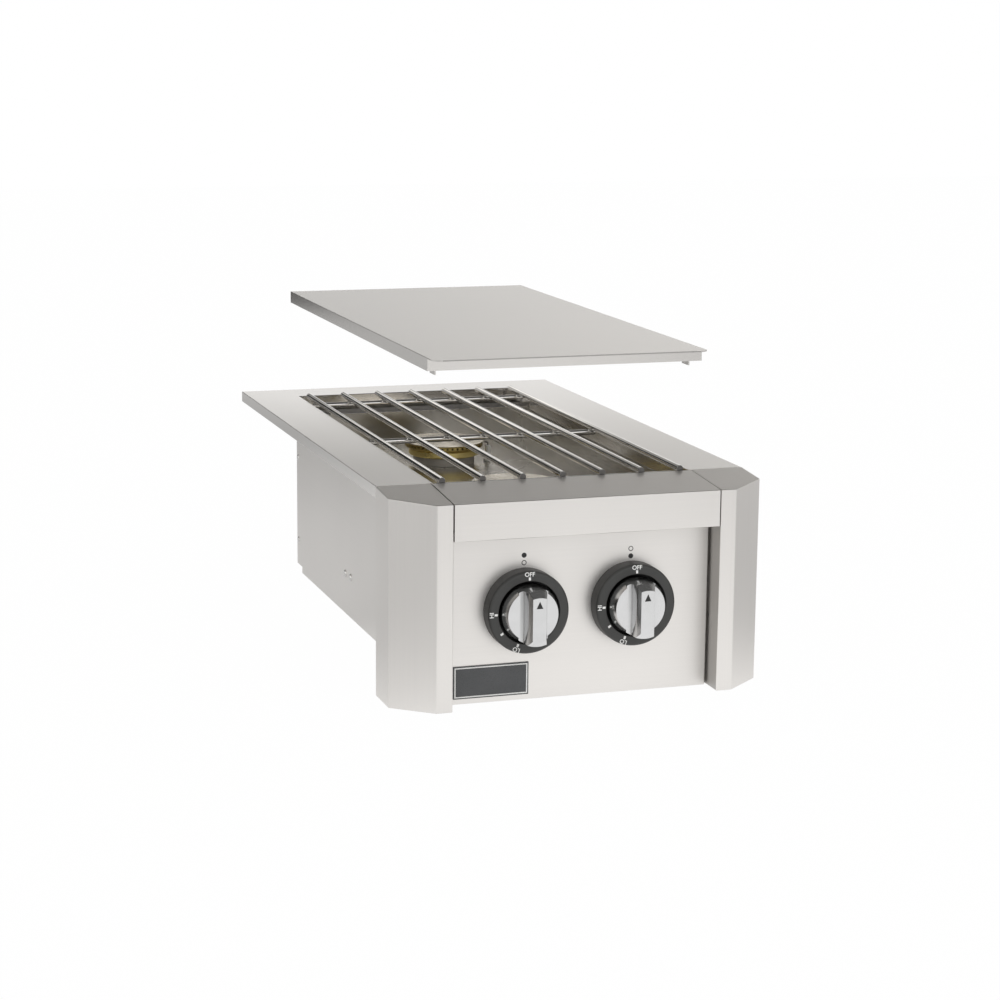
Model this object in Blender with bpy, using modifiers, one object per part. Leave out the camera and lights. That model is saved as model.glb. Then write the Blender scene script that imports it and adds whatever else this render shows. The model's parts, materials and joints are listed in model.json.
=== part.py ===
"""Drop-in double side burner with a lift-off cover, modelled piece by piece in Blender.

Units are metres, +Z is up and the control panel faces -Y. The origin is the centre of the
object's footprint, at the height of its underside. Depths are counted backwards from the
front face of the two end caps, and heights downwards from the top of the frame plate.
"""
import math

import bmesh
import bpy
from mathutils import Matrix, Vector, geometry

# Whole body
WIDTH = 0.362            # over the two end caps
DEPTH = 0.646            # from the end caps' face to the back of the frame
HEIGHT = 0.1976          # from the underside to the top of the frame plate
SHEET = 0.0012           # stainless sheet
GAP = 0.0003             # seam between touching pieces
SEAM = 0.0005            # visible seam between the frame plate and the pieces before it
RUN = 0.0001             # running clearance of a shaft in its hole

# End caps
CAP_DEPTH = 0.0728
CAP_STRIP = 0.0155       # flat front strip
CAP_CHAMFER_DEPTH = 0.031
CAP_FALL = 0.00565       # how far the top drops from the back of the cap to its face

# Frame plate and the well that it surrounds
FRAME_INSET = 0.0004     # frame edge inside the cap's side
FRAME_LIP = 0.0112
LIP_RETURN = 0.010
SIDE_RIM = 0.055         # from the caps' outer sides to the well
WELL_BACK_RIM = 0.049    # plate behind the well
WELL_FLANGE = 0.017      # flange folded down round the well

# Fascia and control panel
FASCIA_HEIGHT = 0.040
FASCIA_SIDE_GAP = 0.001
PANEL_RECESS = 0.024
PANEL_RETURN = 0.014
VALVE_HOLE_RADIUS = 0.0165

# Burner box under the frame
BOX_FRONT = 0.030
NOTCH_DEPTH = 0.0225
NOTCH_HEIGHT = 0.0071
PAN_FLANGE = 0.012
VENT_COUNT = 5
VENT_LENGTH = 0.120
VENT_WIDTH = 0.008
VENT_PITCH = 0.080

# Burner tray
TRAY_DROP = 0.055
TRAY_END_SPACE = 0.028   # free space between the well's ends and the tray's end walls

# Grate
BAR_COUNT = 7
BAR_SIDE_SPACE = 0.0084  # from the well's sides to the middle of the outermost bars
BAR_RADIUS = 0.003175
BAR_CENTRE_RISE = 0.0016
BAR_FRONT_SPACE = 0.0012
BAR_BACK_SPACE = 0.012
ROD_RADIUS = 0.003
ROD_FRONT_INSET = 0.0062
ROD_BACK_INSET = 0.044
ROD_OVERHANG = 0.0035
WELD_SINK = 0.0006
REST_LENGTH = 0.022
REST_LEG = 0.0105
REST_FRONT_SPACE = 0.001

# Burners
BURNER_BACK_INSET = 0.140
BURNER_FRONT_INSET = 0.140
BURNER_CAP_DROP = 0.0308
BURNER_CAP_RADIUS = 0.043
BURNER_CAP_HEIGHT = 0.0012
BURNER_CAP_EDGE = 0.0006
BURNER_CAP_DOME = 0.00045
SPIGOT_HEIGHT = 0.002
RING_TOP_RADIUS = 0.042
RING_FOOT_RADIUS = 0.0385
RING_BORE = 0.033
RING_HEIGHT = 0.0066
RING_TAPER = 0.0025      # height of the part that narrows to the foot
PORT_COUNT = 48
PORT_RADIUS = 0.0012
PORT_DROP = 0.0022       # from the ring's top to the ports' middle
BASE_RADIUS = 0.038
BASE_HEIGHT = 0.0068
BASE_EDGE = 0.0022
PEDESTAL_RADIUS = 0.033
THROAT_RADIUS = 0.026
THROAT_HOLE_CLEARANCE = 0.001
THROAT_END_RADIUS = 0.0155
THROAT_LENGTH = 0.024
THROAT_BORE = 0.009

# Gas train
KNOB_SPACING = 0.1042
KNOB_OFFSET = -0.0022    # middle of the two knobs, from the middle of the body
KNOB_DROP = 0.1114
VALVE_WIDTH = 0.026
VALVE_HEIGHT = 0.030
VALVE_LENGTH = 0.034
VALVE_EDGE = 0.002
BONNET_RADIUS = 0.015
BONNET_LENGTH = 0.0185
BONNET_BORE = 0.008
BONNET_ROOT = 0.004
ORIFICE_RADIUS = 0.007
ORIFICE_TIP_RADIUS = 0.0035
ORIFICE_LENGTH = 0.0205
ORIFICE_TAPER = 0.004
MANIFOLD_RADIUS = 0.0095
MANIFOLD_SIDE_SPACE = 0.016
MANIFOLD_BEND = 0.018
MANIFOLD_TAIL = 0.006
INLET_RADIUS = 0.00635
INLET_TAIL = 0.012
HOLE_CLEARANCE = 0.0015
FITTING_LENGTH = 0.021
FITTING_RADIUS = 0.011
FLARE_LENGTH = 0.009
FLARE_RADIUS = 0.008
FLARE_BORE = 0.0045
FLARE_FLOOR = 0.005
CLAMP_WIDTH = 0.016
CLAMP_EAR = 0.005
VENTURI_RADIUS = 0.0125
VENTURI_START = 0.104
VENTURI_BEND = 0.058
VENTURI_RISE = 0.004
SHUTTER_LENGTH = 0.016
SHUTTER_OVERLAP = 0.008
SHUTTER_WALL = 0.0024
SHUTTER_MOUTH = 0.0075
SUPPORT_WIDTH = 0.024
SUPPORT_FOOT = 0.018

# Igniters
ELECTRODE_REACH = 0.0475
ELECTRODE_FORWARD = 0.008
ELECTRODE_TIP_FALL = 0.0012
CERAMIC_RADIUS = 0.003
CERAMIC_FALL = 0.0067    # from the burner cap's top to the ceramic's top
CERAMIC_EDGE = 0.0006
COLLAR_RADIUS = 0.0048
COLLAR_HEIGHT = 0.0025
TIP_RADIUS = 0.0009
ELECTRODE_TAIL = 0.015
LEAD_RADIUS = 0.0015
LEAD_FALL = 0.014
LEAD_SWEEP = 0.060
LEAD_TURN = 0.016
LEAD_START = 0.116
LEAD_STUB = 0.003
REAR_LEAD_LANE = -0.030
FRONT_LEAD_LANE = 0.078

# Bezels and knobs
BEZEL_RADIUS = 0.0387
BEZEL_DEPTH = 0.017
BEZEL_BORE = 0.0293
BEZEL_EDGE = 0.003
BEZEL_LEAD_IN = 0.0006
BEZEL_FLOOR = 0.002      # floor of the dish behind the knob
KNOB_LENGTH = 0.033
KNOB_CLEARANCE = 0.013   # between the knob's back and the panel
KNOB_TRAVEL = 0.003
SKIRT_RADIUS = 0.0272
SKIRT_HEIGHT = 0.007     # straight part of the skirt
SKIRT_EDGE = 0.001
DISC_RADIUS = 0.024
DISC_DEPTH = 0.015       # from the knob's back to its half-moon faces
GRIP_RADIUS = 0.026
GRIP_HALF_WIDTH = 0.0097
GRIP_EDGE_HALF_WIDTH = 0.0090
GRIP_FACE_HALF_WIDTH = 0.0064
GRIP_CHAMFER = 0.0055
GRIP_CHAMFER_DEPTH = 0.006
GRIP_FILLET = 0.003
KNOB_WALL = 0.0024
HUB_RADIUS = 0.0065
STEM_RADIUS = 0.003
STEM_SEAT = 0.0105       # how far the stem reaches into the knob
PLUNGER_LENGTH = 0.006
PLUNGER_INSET = 0.0053

# Cover
COVER_LIFT = 0.1046      # how far the cover stands above its closed place
COVER_SIDE_OVERLAP = 0.0084
COVER_FRONT_OVERLAP = 0.0052
COVER_BACK_OVERLAP = 0.0035
COVER_FLANGE = 0.0122
COVER_LIP = 0.0190
COVER_LIP_RADIUS = 0.009
TAB_DROP = 0.005
TAB_LENGTH = 0.016
TAB_LEG = 0.009
TAB_SIDE_SPACE = 0.0010
TAB_END_SPACE = 0.002

# Fineness of round pieces
ROUND_STEPS = 32
SMALL_STEPS = 16
BAR_STEPS = 10

# Places worked out from the sizes above
KNOB_REACH = KNOB_CLEARANCE + KNOB_LENGTH - PANEL_RECESS
FACE = (KNOB_REACH - DEPTH) / 2
HALF_WELL = WIDTH / 2 - SIDE_RIM
BOX_INNER = HALF_WELL + SHEET + GAP
BOX_OUTER = BOX_INNER + SHEET
CAP_INNER = BOX_OUTER + GAP
CAP_OUTER = WIDTH / 2
FASCIA_HALF = CAP_INNER - FASCIA_SIDE_GAP
WELL_FRONT = CAP_DEPTH
WELL_BACK = DEPTH - WELL_BACK_RIM
BOX_BACK = WELL_BACK + SHEET + GAP + SHEET
TRAY_FRONT = WELL_FRONT + TRAY_END_SPACE
TRAY_BACK = WELL_BACK - TRAY_END_SPACE
PANEL_HALF = BOX_INNER - GAP
PANEL_TOP = FASCIA_HEIGHT + GAP
PAN_BACK = BOX_BACK - NOTCH_DEPTH
BURNERS = {
    "rear": {"depth": WELL_BACK - BURNER_BACK_INSET, "valve_x": KNOB_OFFSET - KNOB_SPACING / 2,
             "lane": REAR_LEAD_LANE},
    "front": {"depth": WELL_FRONT + BURNER_FRONT_INSET, "valve_x": KNOB_OFFSET + KNOB_SPACING / 2,
              "lane": FRONT_LEAD_LANE},
}
RING_DROP = BURNER_CAP_DROP + BURNER_CAP_HEIGHT + GAP
BASE_DROP = RING_DROP + RING_HEIGHT + GAP
VALVE_FRONT = PANEL_RECESS + SHEET + GAP
BONNET_BORE_DEPTH = PLUNGER_INSET + PLUNGER_LENGTH + KNOB_TRAVEL + 2 * GAP
VALVE_BODY_FRONT = VALVE_FRONT + BONNET_LENGTH
VALVE_BACK = VALVE_BODY_FRONT + VALVE_LENGTH
MANIFOLD_DEPTH = VALVE_BODY_FRONT + VALVE_LENGTH / 2
MANIFOLD_DROP = KNOB_DROP + VALVE_HEIGHT / 2 + GAP + MANIFOLD_RADIUS
INLET_X = BOX_INNER - MANIFOLD_SIDE_SPACE
KNOB_BACK = PANEL_RECESS - KNOB_CLEARANCE
ROD_DROP = BAR_RADIUS + ROD_RADIUS - WELD_SINK - BAR_CENTRE_RISE
BAR_HALF_SPAN = HALF_WELL - BAR_SIDE_SPACE
BAR_PITCH = 2 * BAR_HALF_SPAN / (BAR_COUNT - 1)
ROD_HALF = BAR_HALF_SPAN + ROD_OVERHANG
COVER_HALF = HALF_WELL + COVER_SIDE_OVERLAP
COVER_FRONT = WELL_FRONT - COVER_FRONT_OVERLAP
COVER_BACK = WELL_BACK + COVER_BACK_OVERLAP


def place(x, depth, drop):
    """Point at a depth behind the caps' face and a drop below the frame plate's top."""
    return Vector((x, FACE + depth, HEIGHT - drop))


def make_collections():
    """Collections for the object's pieces and for the shapes that cut or join them."""
    for old in list(bpy.data.objects):
        bpy.data.objects.remove(old, do_unlink=True)
    found = {}
    for title in ("double_side_burner", "shaping_guides"):
        found[title] = bpy.data.collections.new(title)
        bpy.context.scene.collection.children.link(found[title])
    return found["double_side_burner"], found["shaping_guides"]


PARTS, GUIDES = make_collections()


def finish(name, colour, roughness, metallic):
    """Plain surface with a colour, roughness and metallic value."""
    material = bpy.data.materials.new(name)
    material.use_nodes = True
    shader = material.node_tree.nodes["Principled BSDF"]
    shader.inputs["Base Color"].default_value = (*colour, 1.0)
    shader.inputs["Roughness"].default_value = roughness
    shader.inputs["Metallic"].default_value = metallic
    return material


BRUSHED = finish("brushed_stainless", (0.74, 0.73, 0.71), 0.32, 1.0)
POLISHED = finish("polished_bar", (0.80, 0.79, 0.77), 0.12, 1.0)
BRASS = finish("burner_brass", (0.72, 0.58, 0.28), 0.25, 1.0)
CASTING = finish("valve_casting", (0.62, 0.61, 0.58), 0.45, 1.0)
DARK_PLASTIC = finish("bezel_grey", (0.09, 0.09, 0.085), 0.40, 0.0)
SATIN = finish("knob_satin", (0.66, 0.65, 0.64), 0.28, 1.0)
CERAMIC = finish("electrode_ceramic", (0.82, 0.80, 0.74), 0.35, 0.0)
RUBBER = finish("lead_sleeve", (0.45, 0.10, 0.08), 0.55, 0.0)


def add_object(name, data, material=None):
    """Link new data as a piece, or as a guide when it has no material."""
    item = bpy.data.objects.new(name, data)
    if material is None:
        GUIDES.objects.link(item)
        item.hide_render = True
        item.display_type = "WIRE"
    else:
        data.materials.append(material)
        PARTS.objects.link(item)
    return item


def mesh_object(name, bm, material=None, smooth=False):
    """Turn a bmesh into an object."""
    mesh = bpy.data.meshes.new(name)
    bm.to_mesh(mesh)
    bm.free()
    if smooth:
        mesh.shade_smooth()
        mesh.set_sharp_from_angle(angle=math.radians(35))
    return add_object(name, mesh, material)


def add_box(bm, low, high):
    """Box between two corners, added to a bmesh."""
    low = Vector(low)
    high = Vector(high)
    size = high - low
    matrix = Matrix.Translation((low + high) / 2) @ Matrix.Diagonal((*size, 1.0))
    return bmesh.ops.create_cube(bm, size=1.0, matrix=matrix)["verts"]


def add_cylinder(bm, start, end, radius, steps):
    """Capped cylinder between two points, added to a bmesh."""
    start = Vector(start)
    end = Vector(end)
    run = end - start
    matrix = Matrix.Translation((start + end) / 2) @ run.to_track_quat("Z", "Y").to_matrix().to_4x4()
    return bmesh.ops.create_cone(bm, cap_ends=True, segments=steps, radius1=radius, radius2=radius,
                                 depth=run.length, matrix=matrix)["verts"]


def box(name, low, high, material=None):
    """Solid block, placed by its lower corner."""
    bm = bmesh.new()
    add_box(bm, (0, 0, 0), Vector(high) - Vector(low))
    item = mesh_object(name, bm, material)
    item.location = low
    return item


def cylinder(name, start, end, radius, material=None, steps=SMALL_STEPS):
    """Solid cylinder, placed by the start of its axis."""
    bm = bmesh.new()
    add_cylinder(bm, (0, 0, 0), Vector(end) - Vector(start), radius, steps)
    item = mesh_object(name, bm, material, smooth=True)
    item.location = start
    return item


def thicken(item, thickness, offset=-1.0):
    """Give an open surface its sheet thickness."""
    wall = item.modifiers.new("sheet", "SOLIDIFY")
    wall.thickness = thickness
    wall.offset = offset
    wall.solidify_mode = "NON_MANIFOLD"
    wall.nonmanifold_thickness_mode = "CONSTRAINTS"
    return item


def cut(item, cutter):
    """Take a guide's shape out of a piece."""
    change = item.modifiers.new("cut", "BOOLEAN")
    change.operation = "DIFFERENCE"
    change.object = cutter
    return item


def join(item, other):
    """Weld a guide's shape to a piece."""
    change = item.modifiers.new("join", "BOOLEAN")
    change.operation = "UNION"
    change.object = other
    return item


def soften(item, width, segments=1):
    """Round the sharp edges of a piece."""
    edge = item.modifiers.new("edge", "BEVEL")
    edge.width = width
    edge.segments = segments
    edge.limit_method = "ANGLE"
    edge.angle_limit = math.radians(40)
    return item


def folded_box(name, low, high, open_sides, material, thickness=SHEET):
    """Sheet folded into a box that lacks the sides named by their outward directions."""
    bm = bmesh.new()
    add_box(bm, low, high)
    bm.normal_update()
    missing = [face for face in bm.faces
               if any(face.normal.dot(Vector(side)) > 0.9 for side in open_sides)]
    bmesh.ops.delete(bm, geom=missing, context="FACES")
    return thicken(mesh_object(name, bm, material), thickness)


def bent_sheet(name, path, run, outward, material, thickness=SHEET, offset=-1.0):
    """Sheet bent along a path of points and drawn out along a run."""
    bm = bmesh.new()
    corners = [bm.verts.new(point) for point in path]
    edges = [bm.edges.new(pair) for pair in zip(corners, corners[1:])]
    drawn = bmesh.ops.extrude_edge_only(bm, edges=edges)["geom"]
    moved = [part for part in drawn if isinstance(part, bmesh.types.BMVert)]
    bmesh.ops.translate(bm, verts=moved, vec=Vector(run))
    bm.normal_update()
    if corners[0].link_faces[0].normal.dot(Vector(outward)) < 0:
        bmesh.ops.reverse_faces(bm, faces=list(bm.faces))
    return thicken(mesh_object(name, bm, material), thickness, offset)


def flat_plate(name, outline, height, material=None, location=(0, 0, 0), rotation=(0, 0, 0)):
    """Plate with a flat outline, drawn out to half its thickness on each side."""
    curve = bpy.data.curves.new(name, "CURVE")
    curve.dimensions = "2D"
    curve.fill_mode = "BOTH"
    curve.extrude = height / 2
    spline = curve.splines.new("POLY")
    spline.points.add(len(outline) - 1)
    for point, (x, y) in zip(spline.points, outline):
        point.co = (x, y, 0.0, 1.0)
    spline.use_cyclic_u = True
    guide = add_object(name + "_outline", curve)
    guide.location = location
    guide.rotation_euler = rotation
    return solid_from_curve(guide, name, material)


def solid_from_curve(guide, name, material=None):
    """Closed mesh from a curve, with its caps welded on."""
    bpy.context.view_layer.update()
    shape = guide.evaluated_get(bpy.context.evaluated_depsgraph_get())
    mesh = bpy.data.meshes.new_from_object(shape)
    bm = bmesh.new()
    bm.from_mesh(mesh)
    bmesh.ops.remove_doubles(bm, verts=bm.verts, dist=1e-6)
    bmesh.ops.recalc_face_normals(bm, faces=bm.faces)
    bm.to_mesh(mesh)
    bm.free()
    item = add_object(name, mesh, material)
    item.matrix_world = guide.matrix_world.copy()
    bpy.data.objects.remove(guide, do_unlink=True)
    return item


def tube(name, points, radius, material=None, resolution=2):
    """Round bar or pipe along a route."""
    curve = bpy.data.curves.new(name, "CURVE")
    curve.dimensions = "3D"
    curve.bevel_depth = radius
    curve.bevel_resolution = resolution
    curve.use_fill_caps = True
    spline = curve.splines.new("POLY")
    spline.points.add(len(points) - 1)
    for point, place_of in zip(spline.points, points):
        point.co = (*place_of, 1.0)
    return add_object(name, curve, material)


def turned(name, profile, centre, material=None, steps=ROUND_STEPS, facing=None, closed=False):
    """Piece turned about its own axis from (radius, height) points, top to bottom outside."""
    bm = bmesh.new()
    corners = [bm.verts.new((radius, 0.0, height)) for radius, height in profile]
    for pair in zip(corners, corners[1:]):
        bm.edges.new(pair)
    if closed:
        bm.edges.new((corners[-1], corners[0]))
    item = mesh_object(name, bm, material)
    lathe = item.modifiers.new("lathe", "SCREW")
    lathe.axis = "Z"
    lathe.steps = steps
    lathe.render_steps = steps
    lathe.use_merge_vertices = True
    lathe.merge_threshold = 0.00001
    lathe.use_smooth_shade = True
    item.location = centre
    if facing is not None:
        item.rotation_euler = Vector(facing).to_track_quat("Z", "Y").to_euler()
    return item


def arc(centre, radius, start_deg, end_deg, steps):
    """Points along a flat arc."""
    angles = [math.radians(start_deg + (end_deg - start_deg) * i / steps) for i in range(steps + 1)]
    return [(centre[0] + radius * math.cos(a), centre[1] + radius * math.sin(a)) for a in angles]


def make_top_frame():
    """Frame plate: rims on three sides of the well, an outer lip and a well flange."""
    half = CAP_OUTER - FRAME_INSET
    bm = bmesh.new()
    add_box(bm, place(-half, CAP_DEPTH + SEAM, FRAME_LIP), place(half, DEPTH, 0))
    bm.normal_update()
    gone = [face for face in bm.faces if face.normal.z < -0.9 or face.normal.y < -0.9]
    bmesh.ops.delete(bm, geom=gone, context="FACES")
    lower = [edge for edge in bm.edges
             if all(abs(v.co.z - (HEIGHT - FRAME_LIP)) < 1e-6 for v in edge.verts)]
    fold_in(bm, lower, half, LIP_RETURN)
    for point, normal in ((place(-HALF_WELL, 0, 0), (1, 0, 0)), (place(HALF_WELL, 0, 0), (1, 0, 0)),
                          (place(0, WELL_BACK, 0), (0, 1, 0))):
        top = [face for face in bm.faces if face.normal.z > 0.9]
        geom = top + list({edge for face in top for edge in face.edges})
        bmesh.ops.bisect_plane(bm, geom=geom + list({v for face in top for v in face.verts}),
                               plane_co=point, plane_no=normal)
        bm.normal_update()
    well = [face for face in bm.faces if face.normal.z > 0.9 and over_well(face)]
    bmesh.ops.delete(bm, geom=well, context="FACES")
    rim = [edge for edge in bm.edges if on_well_edge(edge)]
    drawn = bmesh.ops.extrude_edge_only(bm, edges=rim)["geom"]
    moved = [part for part in drawn if isinstance(part, bmesh.types.BMVert)]
    bmesh.ops.translate(bm, verts=moved, vec=(0, 0, -WELL_FLANGE))
    return thicken(mesh_object("top_frame", bm, BRUSHED), SHEET)


def fold_in(bm, edges, half, reach):
    """Fold a strip inwards from the lower edges of the frame's lip."""
    drawn = bmesh.ops.extrude_edge_only(bm, edges=edges)["geom"]
    for vert in [part for part in drawn if isinstance(part, bmesh.types.BMVert)]:
        vert.co.x *= (half - reach) / half
        if vert.co.y > FACE + DEPTH - 1e-6:
            vert.co.y -= reach
    bm.normal_update()


def over_well(face):
    """Whether a face of the plate lies over the well."""
    middle = face.calc_center_median()
    return abs(middle.x) < HALF_WELL and middle.y < FACE + WELL_BACK


def on_well_edge(edge):
    """Whether an edge lies on the well's left, right or back edge."""
    points = [vert.co for vert in edge.verts]
    if any(abs(point.z - HEIGHT) > 1e-6 for point in points):
        return False
    inside = all(point.y < FACE + WELL_BACK + 1e-6 for point in points)
    on_side = all(abs(abs(point.x) - HALF_WELL) < 1e-6 for point in points)
    on_back = all(abs(point.y - FACE - WELL_BACK) < 1e-6 and abs(point.x) < HALF_WELL + 1e-6
                  for point in points)
    return (on_side and inside and points[0].x * points[1].x > 0) or on_back


def make_end_cap(name, side):
    """Folded end cap with a flat strip, a chamfer and a side, open at the back."""
    plan = [(CAP_INNER, 0), (CAP_INNER + CAP_STRIP, 0), (CAP_OUTER, CAP_CHAMFER_DEPTH),
            (CAP_OUTER, CAP_DEPTH), (CAP_INNER, CAP_DEPTH)]
    bm = bmesh.new()
    floor = bm.faces.new([bm.verts.new(place(side * x, depth, HEIGHT)) for x, depth in plan])
    raised = bmesh.ops.extrude_face_region(bm, geom=[floor])["geom"]
    for vert in [part for part in raised if isinstance(part, bmesh.types.BMVert)]:
        vert.co.z = HEIGHT - CAP_FALL * (1 - (vert.co.y - FACE) / CAP_DEPTH)
    bmesh.ops.recalc_face_normals(bm, faces=bm.faces)
    bm.normal_update()
    back = [face for face in bm.faces if face.normal.y > 0.9]
    bmesh.ops.delete(bm, geom=back, context="FACES")
    return thicken(mesh_object(name, bm, BRUSHED), SHEET)


def make_fascia():
    """Bar across the front, folded back to the well and down into it."""
    back = WELL_FRONT - GAP
    path = [place(-FASCIA_HALF, PANEL_RECESS + SHEET, FASCIA_HEIGHT), place(-FASCIA_HALF, 0, FASCIA_HEIGHT),
            place(-FASCIA_HALF, 0, CAP_FALL), place(-FASCIA_HALF, back, 0),
            place(-FASCIA_HALF, back, WELL_FLANGE)]
    return bent_sheet("fascia_bar", path, (2 * FASCIA_HALF, 0, 0), (0, 0, -1), BRUSHED)


def make_control_panel():
    """Recessed panel with folded returns and a hole for each valve."""
    low = place(-PANEL_HALF, PANEL_RECESS, HEIGHT)
    high = place(PANEL_HALF, PANEL_RECESS + PANEL_RETURN, PANEL_TOP)
    panel = folded_box("control_panel", low, high, [(0, 1, 0)], BRUSHED)
    for title, burner in BURNERS.items():
        start = place(burner["valve_x"], PANEL_RECESS - SHEET, KNOB_DROP)
        end = place(burner["valve_x"], PANEL_RECESS + 2 * SHEET, KNOB_DROP)
        cut(panel, cylinder(title + "_valve_hole", start, end, VALVE_HOLE_RADIUS, steps=24))
    return panel


def make_box_side(name, side):
    """Side of the burner box, notched for the fascia and at its lower back corner."""
    top = SHEET + GAP
    fascia_foot = FASCIA_HEIGHT + SHEET + GAP
    front_step = WELL_FRONT + SEAM + SHEET
    outline = [(BOX_FRONT, HEIGHT), (PAN_BACK, HEIGHT), (PAN_BACK, HEIGHT - NOTCH_HEIGHT),
               (BOX_BACK, HEIGHT - NOTCH_HEIGHT), (BOX_BACK, top), (front_step, top),
               (front_step, fascia_foot), (BOX_FRONT, fascia_foot)]
    points = [(FACE + depth, HEIGHT - drop) for depth, drop in outline]
    middle = side * (BOX_INNER + BOX_OUTER) / 2
    turn = (math.radians(90), 0, math.radians(90))
    return flat_plate(name, points, SHEET, BRUSHED, location=(middle, 0, 0), rotation=turn)


def make_rear_panel():
    """Back of the burner box, with a return along its foot and a hole for the gas pipe."""
    low = place(-PANEL_HALF, BOX_BACK - SHEET - PAN_FLANGE, HEIGHT - NOTCH_HEIGHT)
    high = place(PANEL_HALF, BOX_BACK, SHEET + GAP)
    path = [Vector((low.x, low.y, low.z)), Vector((low.x, high.y, low.z)), Vector((low.x, high.y, high.z))]
    panel = bent_sheet("rear_panel", path, (2 * PANEL_HALF, 0, 0), (0, 0, -1), BRUSHED)
    start = place(INLET_X, BOX_BACK - 3 * SHEET, MANIFOLD_DROP)
    end = place(INLET_X, BOX_BACK + SHEET, MANIFOLD_DROP)
    return cut(panel, cylinder("inlet_hole", start, end, INLET_RADIUS + HOLE_CLEARANCE, steps=20))


def make_bottom_pan():
    """Bottom of the burner box, with upturned edges and vent slots."""
    front = PANEL_RECESS + PANEL_RETURN + GAP
    low = place(-PANEL_HALF, front, HEIGHT)
    high = place(PANEL_HALF, PAN_BACK, HEIGHT - PAN_FLANGE)
    pan = folded_box("bottom_pan", low, high, [(0, 0, 1)], BRUSHED)
    bm = bmesh.new()
    middle = (front + PAN_BACK) / 2
    for index in range(VENT_COUNT):
        depth = middle + (index - (VENT_COUNT - 1) / 2) * VENT_PITCH
        add_box(bm, place(-VENT_LENGTH / 2, depth - VENT_WIDTH / 2, HEIGHT + SHEET),
                place(VENT_LENGTH / 2, depth + VENT_WIDTH / 2, HEIGHT - 2 * SHEET))
    return cut(pan, mesh_object("vent_slots", bm))


def make_burner_tray():
    """Open tray under the grate, pierced for both burners and their electrodes."""
    side = BOX_INNER - GAP
    low = place(-side, TRAY_FRONT - SHEET, TRAY_DROP + SHEET)
    high = place(side, TRAY_BACK + SHEET, WELL_FLANGE + GAP)
    tray = folded_box("burner_tray", low, high, [(0, 0, 1)], BRUSHED)
    bm = bmesh.new()
    for burner in BURNERS.values():
        depth = burner["depth"]
        add_cylinder(bm, place(0, depth, TRAY_DROP + 2 * SHEET), place(0, depth, TRAY_DROP - SHEET),
                     THROAT_RADIUS + THROAT_HOLE_CLEARANCE, 32)
        electrode = depth - ELECTRODE_FORWARD
        add_cylinder(bm, place(ELECTRODE_REACH, electrode, TRAY_DROP + 2 * SHEET),
                     place(ELECTRODE_REACH, electrode, TRAY_DROP - SHEET), CERAMIC_RADIUS + GAP, 12)
    return cut(tray, mesh_object("tray_holes", bm))


def make_grate():
    """Grate: bars from front to back, welded on three cross rods."""
    front = WELL_FRONT + BAR_FRONT_SPACE
    back = WELL_BACK - BAR_BACK_SPACE
    bars = bmesh.new()
    for index in range(BAR_COUNT):
        x = index * BAR_PITCH - BAR_HALF_SPAN
        add_cylinder(bars, place(x, front, -BAR_CENTRE_RISE), place(x, back, -BAR_CENTRE_RISE),
                     BAR_RADIUS, BAR_STEPS)
    rods = bmesh.new()
    for depth in rod_depths():
        add_cylinder(rods, place(-ROD_HALF, depth, ROD_DROP), place(ROD_HALF, depth, ROD_DROP),
                     ROD_RADIUS, BAR_STEPS)
    grate = mesh_object("grate", bars, POLISHED, smooth=True)
    return join(grate, mesh_object("cross_rods", rods))


def rod_depths():
    """Depths of the grate's cross rods: at the front, midway between its ends and at the back."""
    front = WELL_FRONT + ROD_FRONT_INSET
    back = WELL_BACK - ROD_BACK_INSET
    return (front, (front + back) / 2, back)


def make_grate_rests():
    """Angle brackets on the well flange, under the first and last cross rods."""
    starts = {"front": WELL_FRONT + REST_FRONT_SPACE, "rear": rod_depths()[-1] - REST_LENGTH / 2}
    top = ROD_DROP + ROD_RADIUS + GAP
    for side, side_name in ((-1, "left"), (1, "right")):
        wall = HALF_WELL - GAP
        for end_name, start in starts.items():
            path = [place(side * wall, start, WELL_FLANGE), place(side * wall, start, top),
                    place(side * (wall - REST_LEG), start, top)]
            bent_sheet("grate_rest_%s_%s" % (end_name, side_name), path, (0, REST_LENGTH, 0),
                       (side, 0, 0), BRUSHED)


def make_burner(title, depth):
    """Brass cap, ported ring and base of one burner."""
    centre = place(0, depth, BURNER_CAP_DROP)
    cap_foot = -BURNER_CAP_HEIGHT
    spigot = RING_BORE - 2 * GAP
    cap = [(BURNER_CAP_RADIUS * part, BURNER_CAP_DOME * (1 - part * part)) for part in (0, 0.6)]
    cap += [(BURNER_CAP_RADIUS - BURNER_CAP_EDGE, 0), (BURNER_CAP_RADIUS, -BURNER_CAP_EDGE),
            (BURNER_CAP_RADIUS, cap_foot), (spigot, cap_foot), (spigot, cap_foot - SPIGOT_HEIGHT),
            (0, cap_foot - SPIGOT_HEIGHT)]
    turned(title + "_burner_cap", cap, centre, BRASS)
    make_port_ring(title, depth)
    make_burner_base(title, depth)


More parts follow.
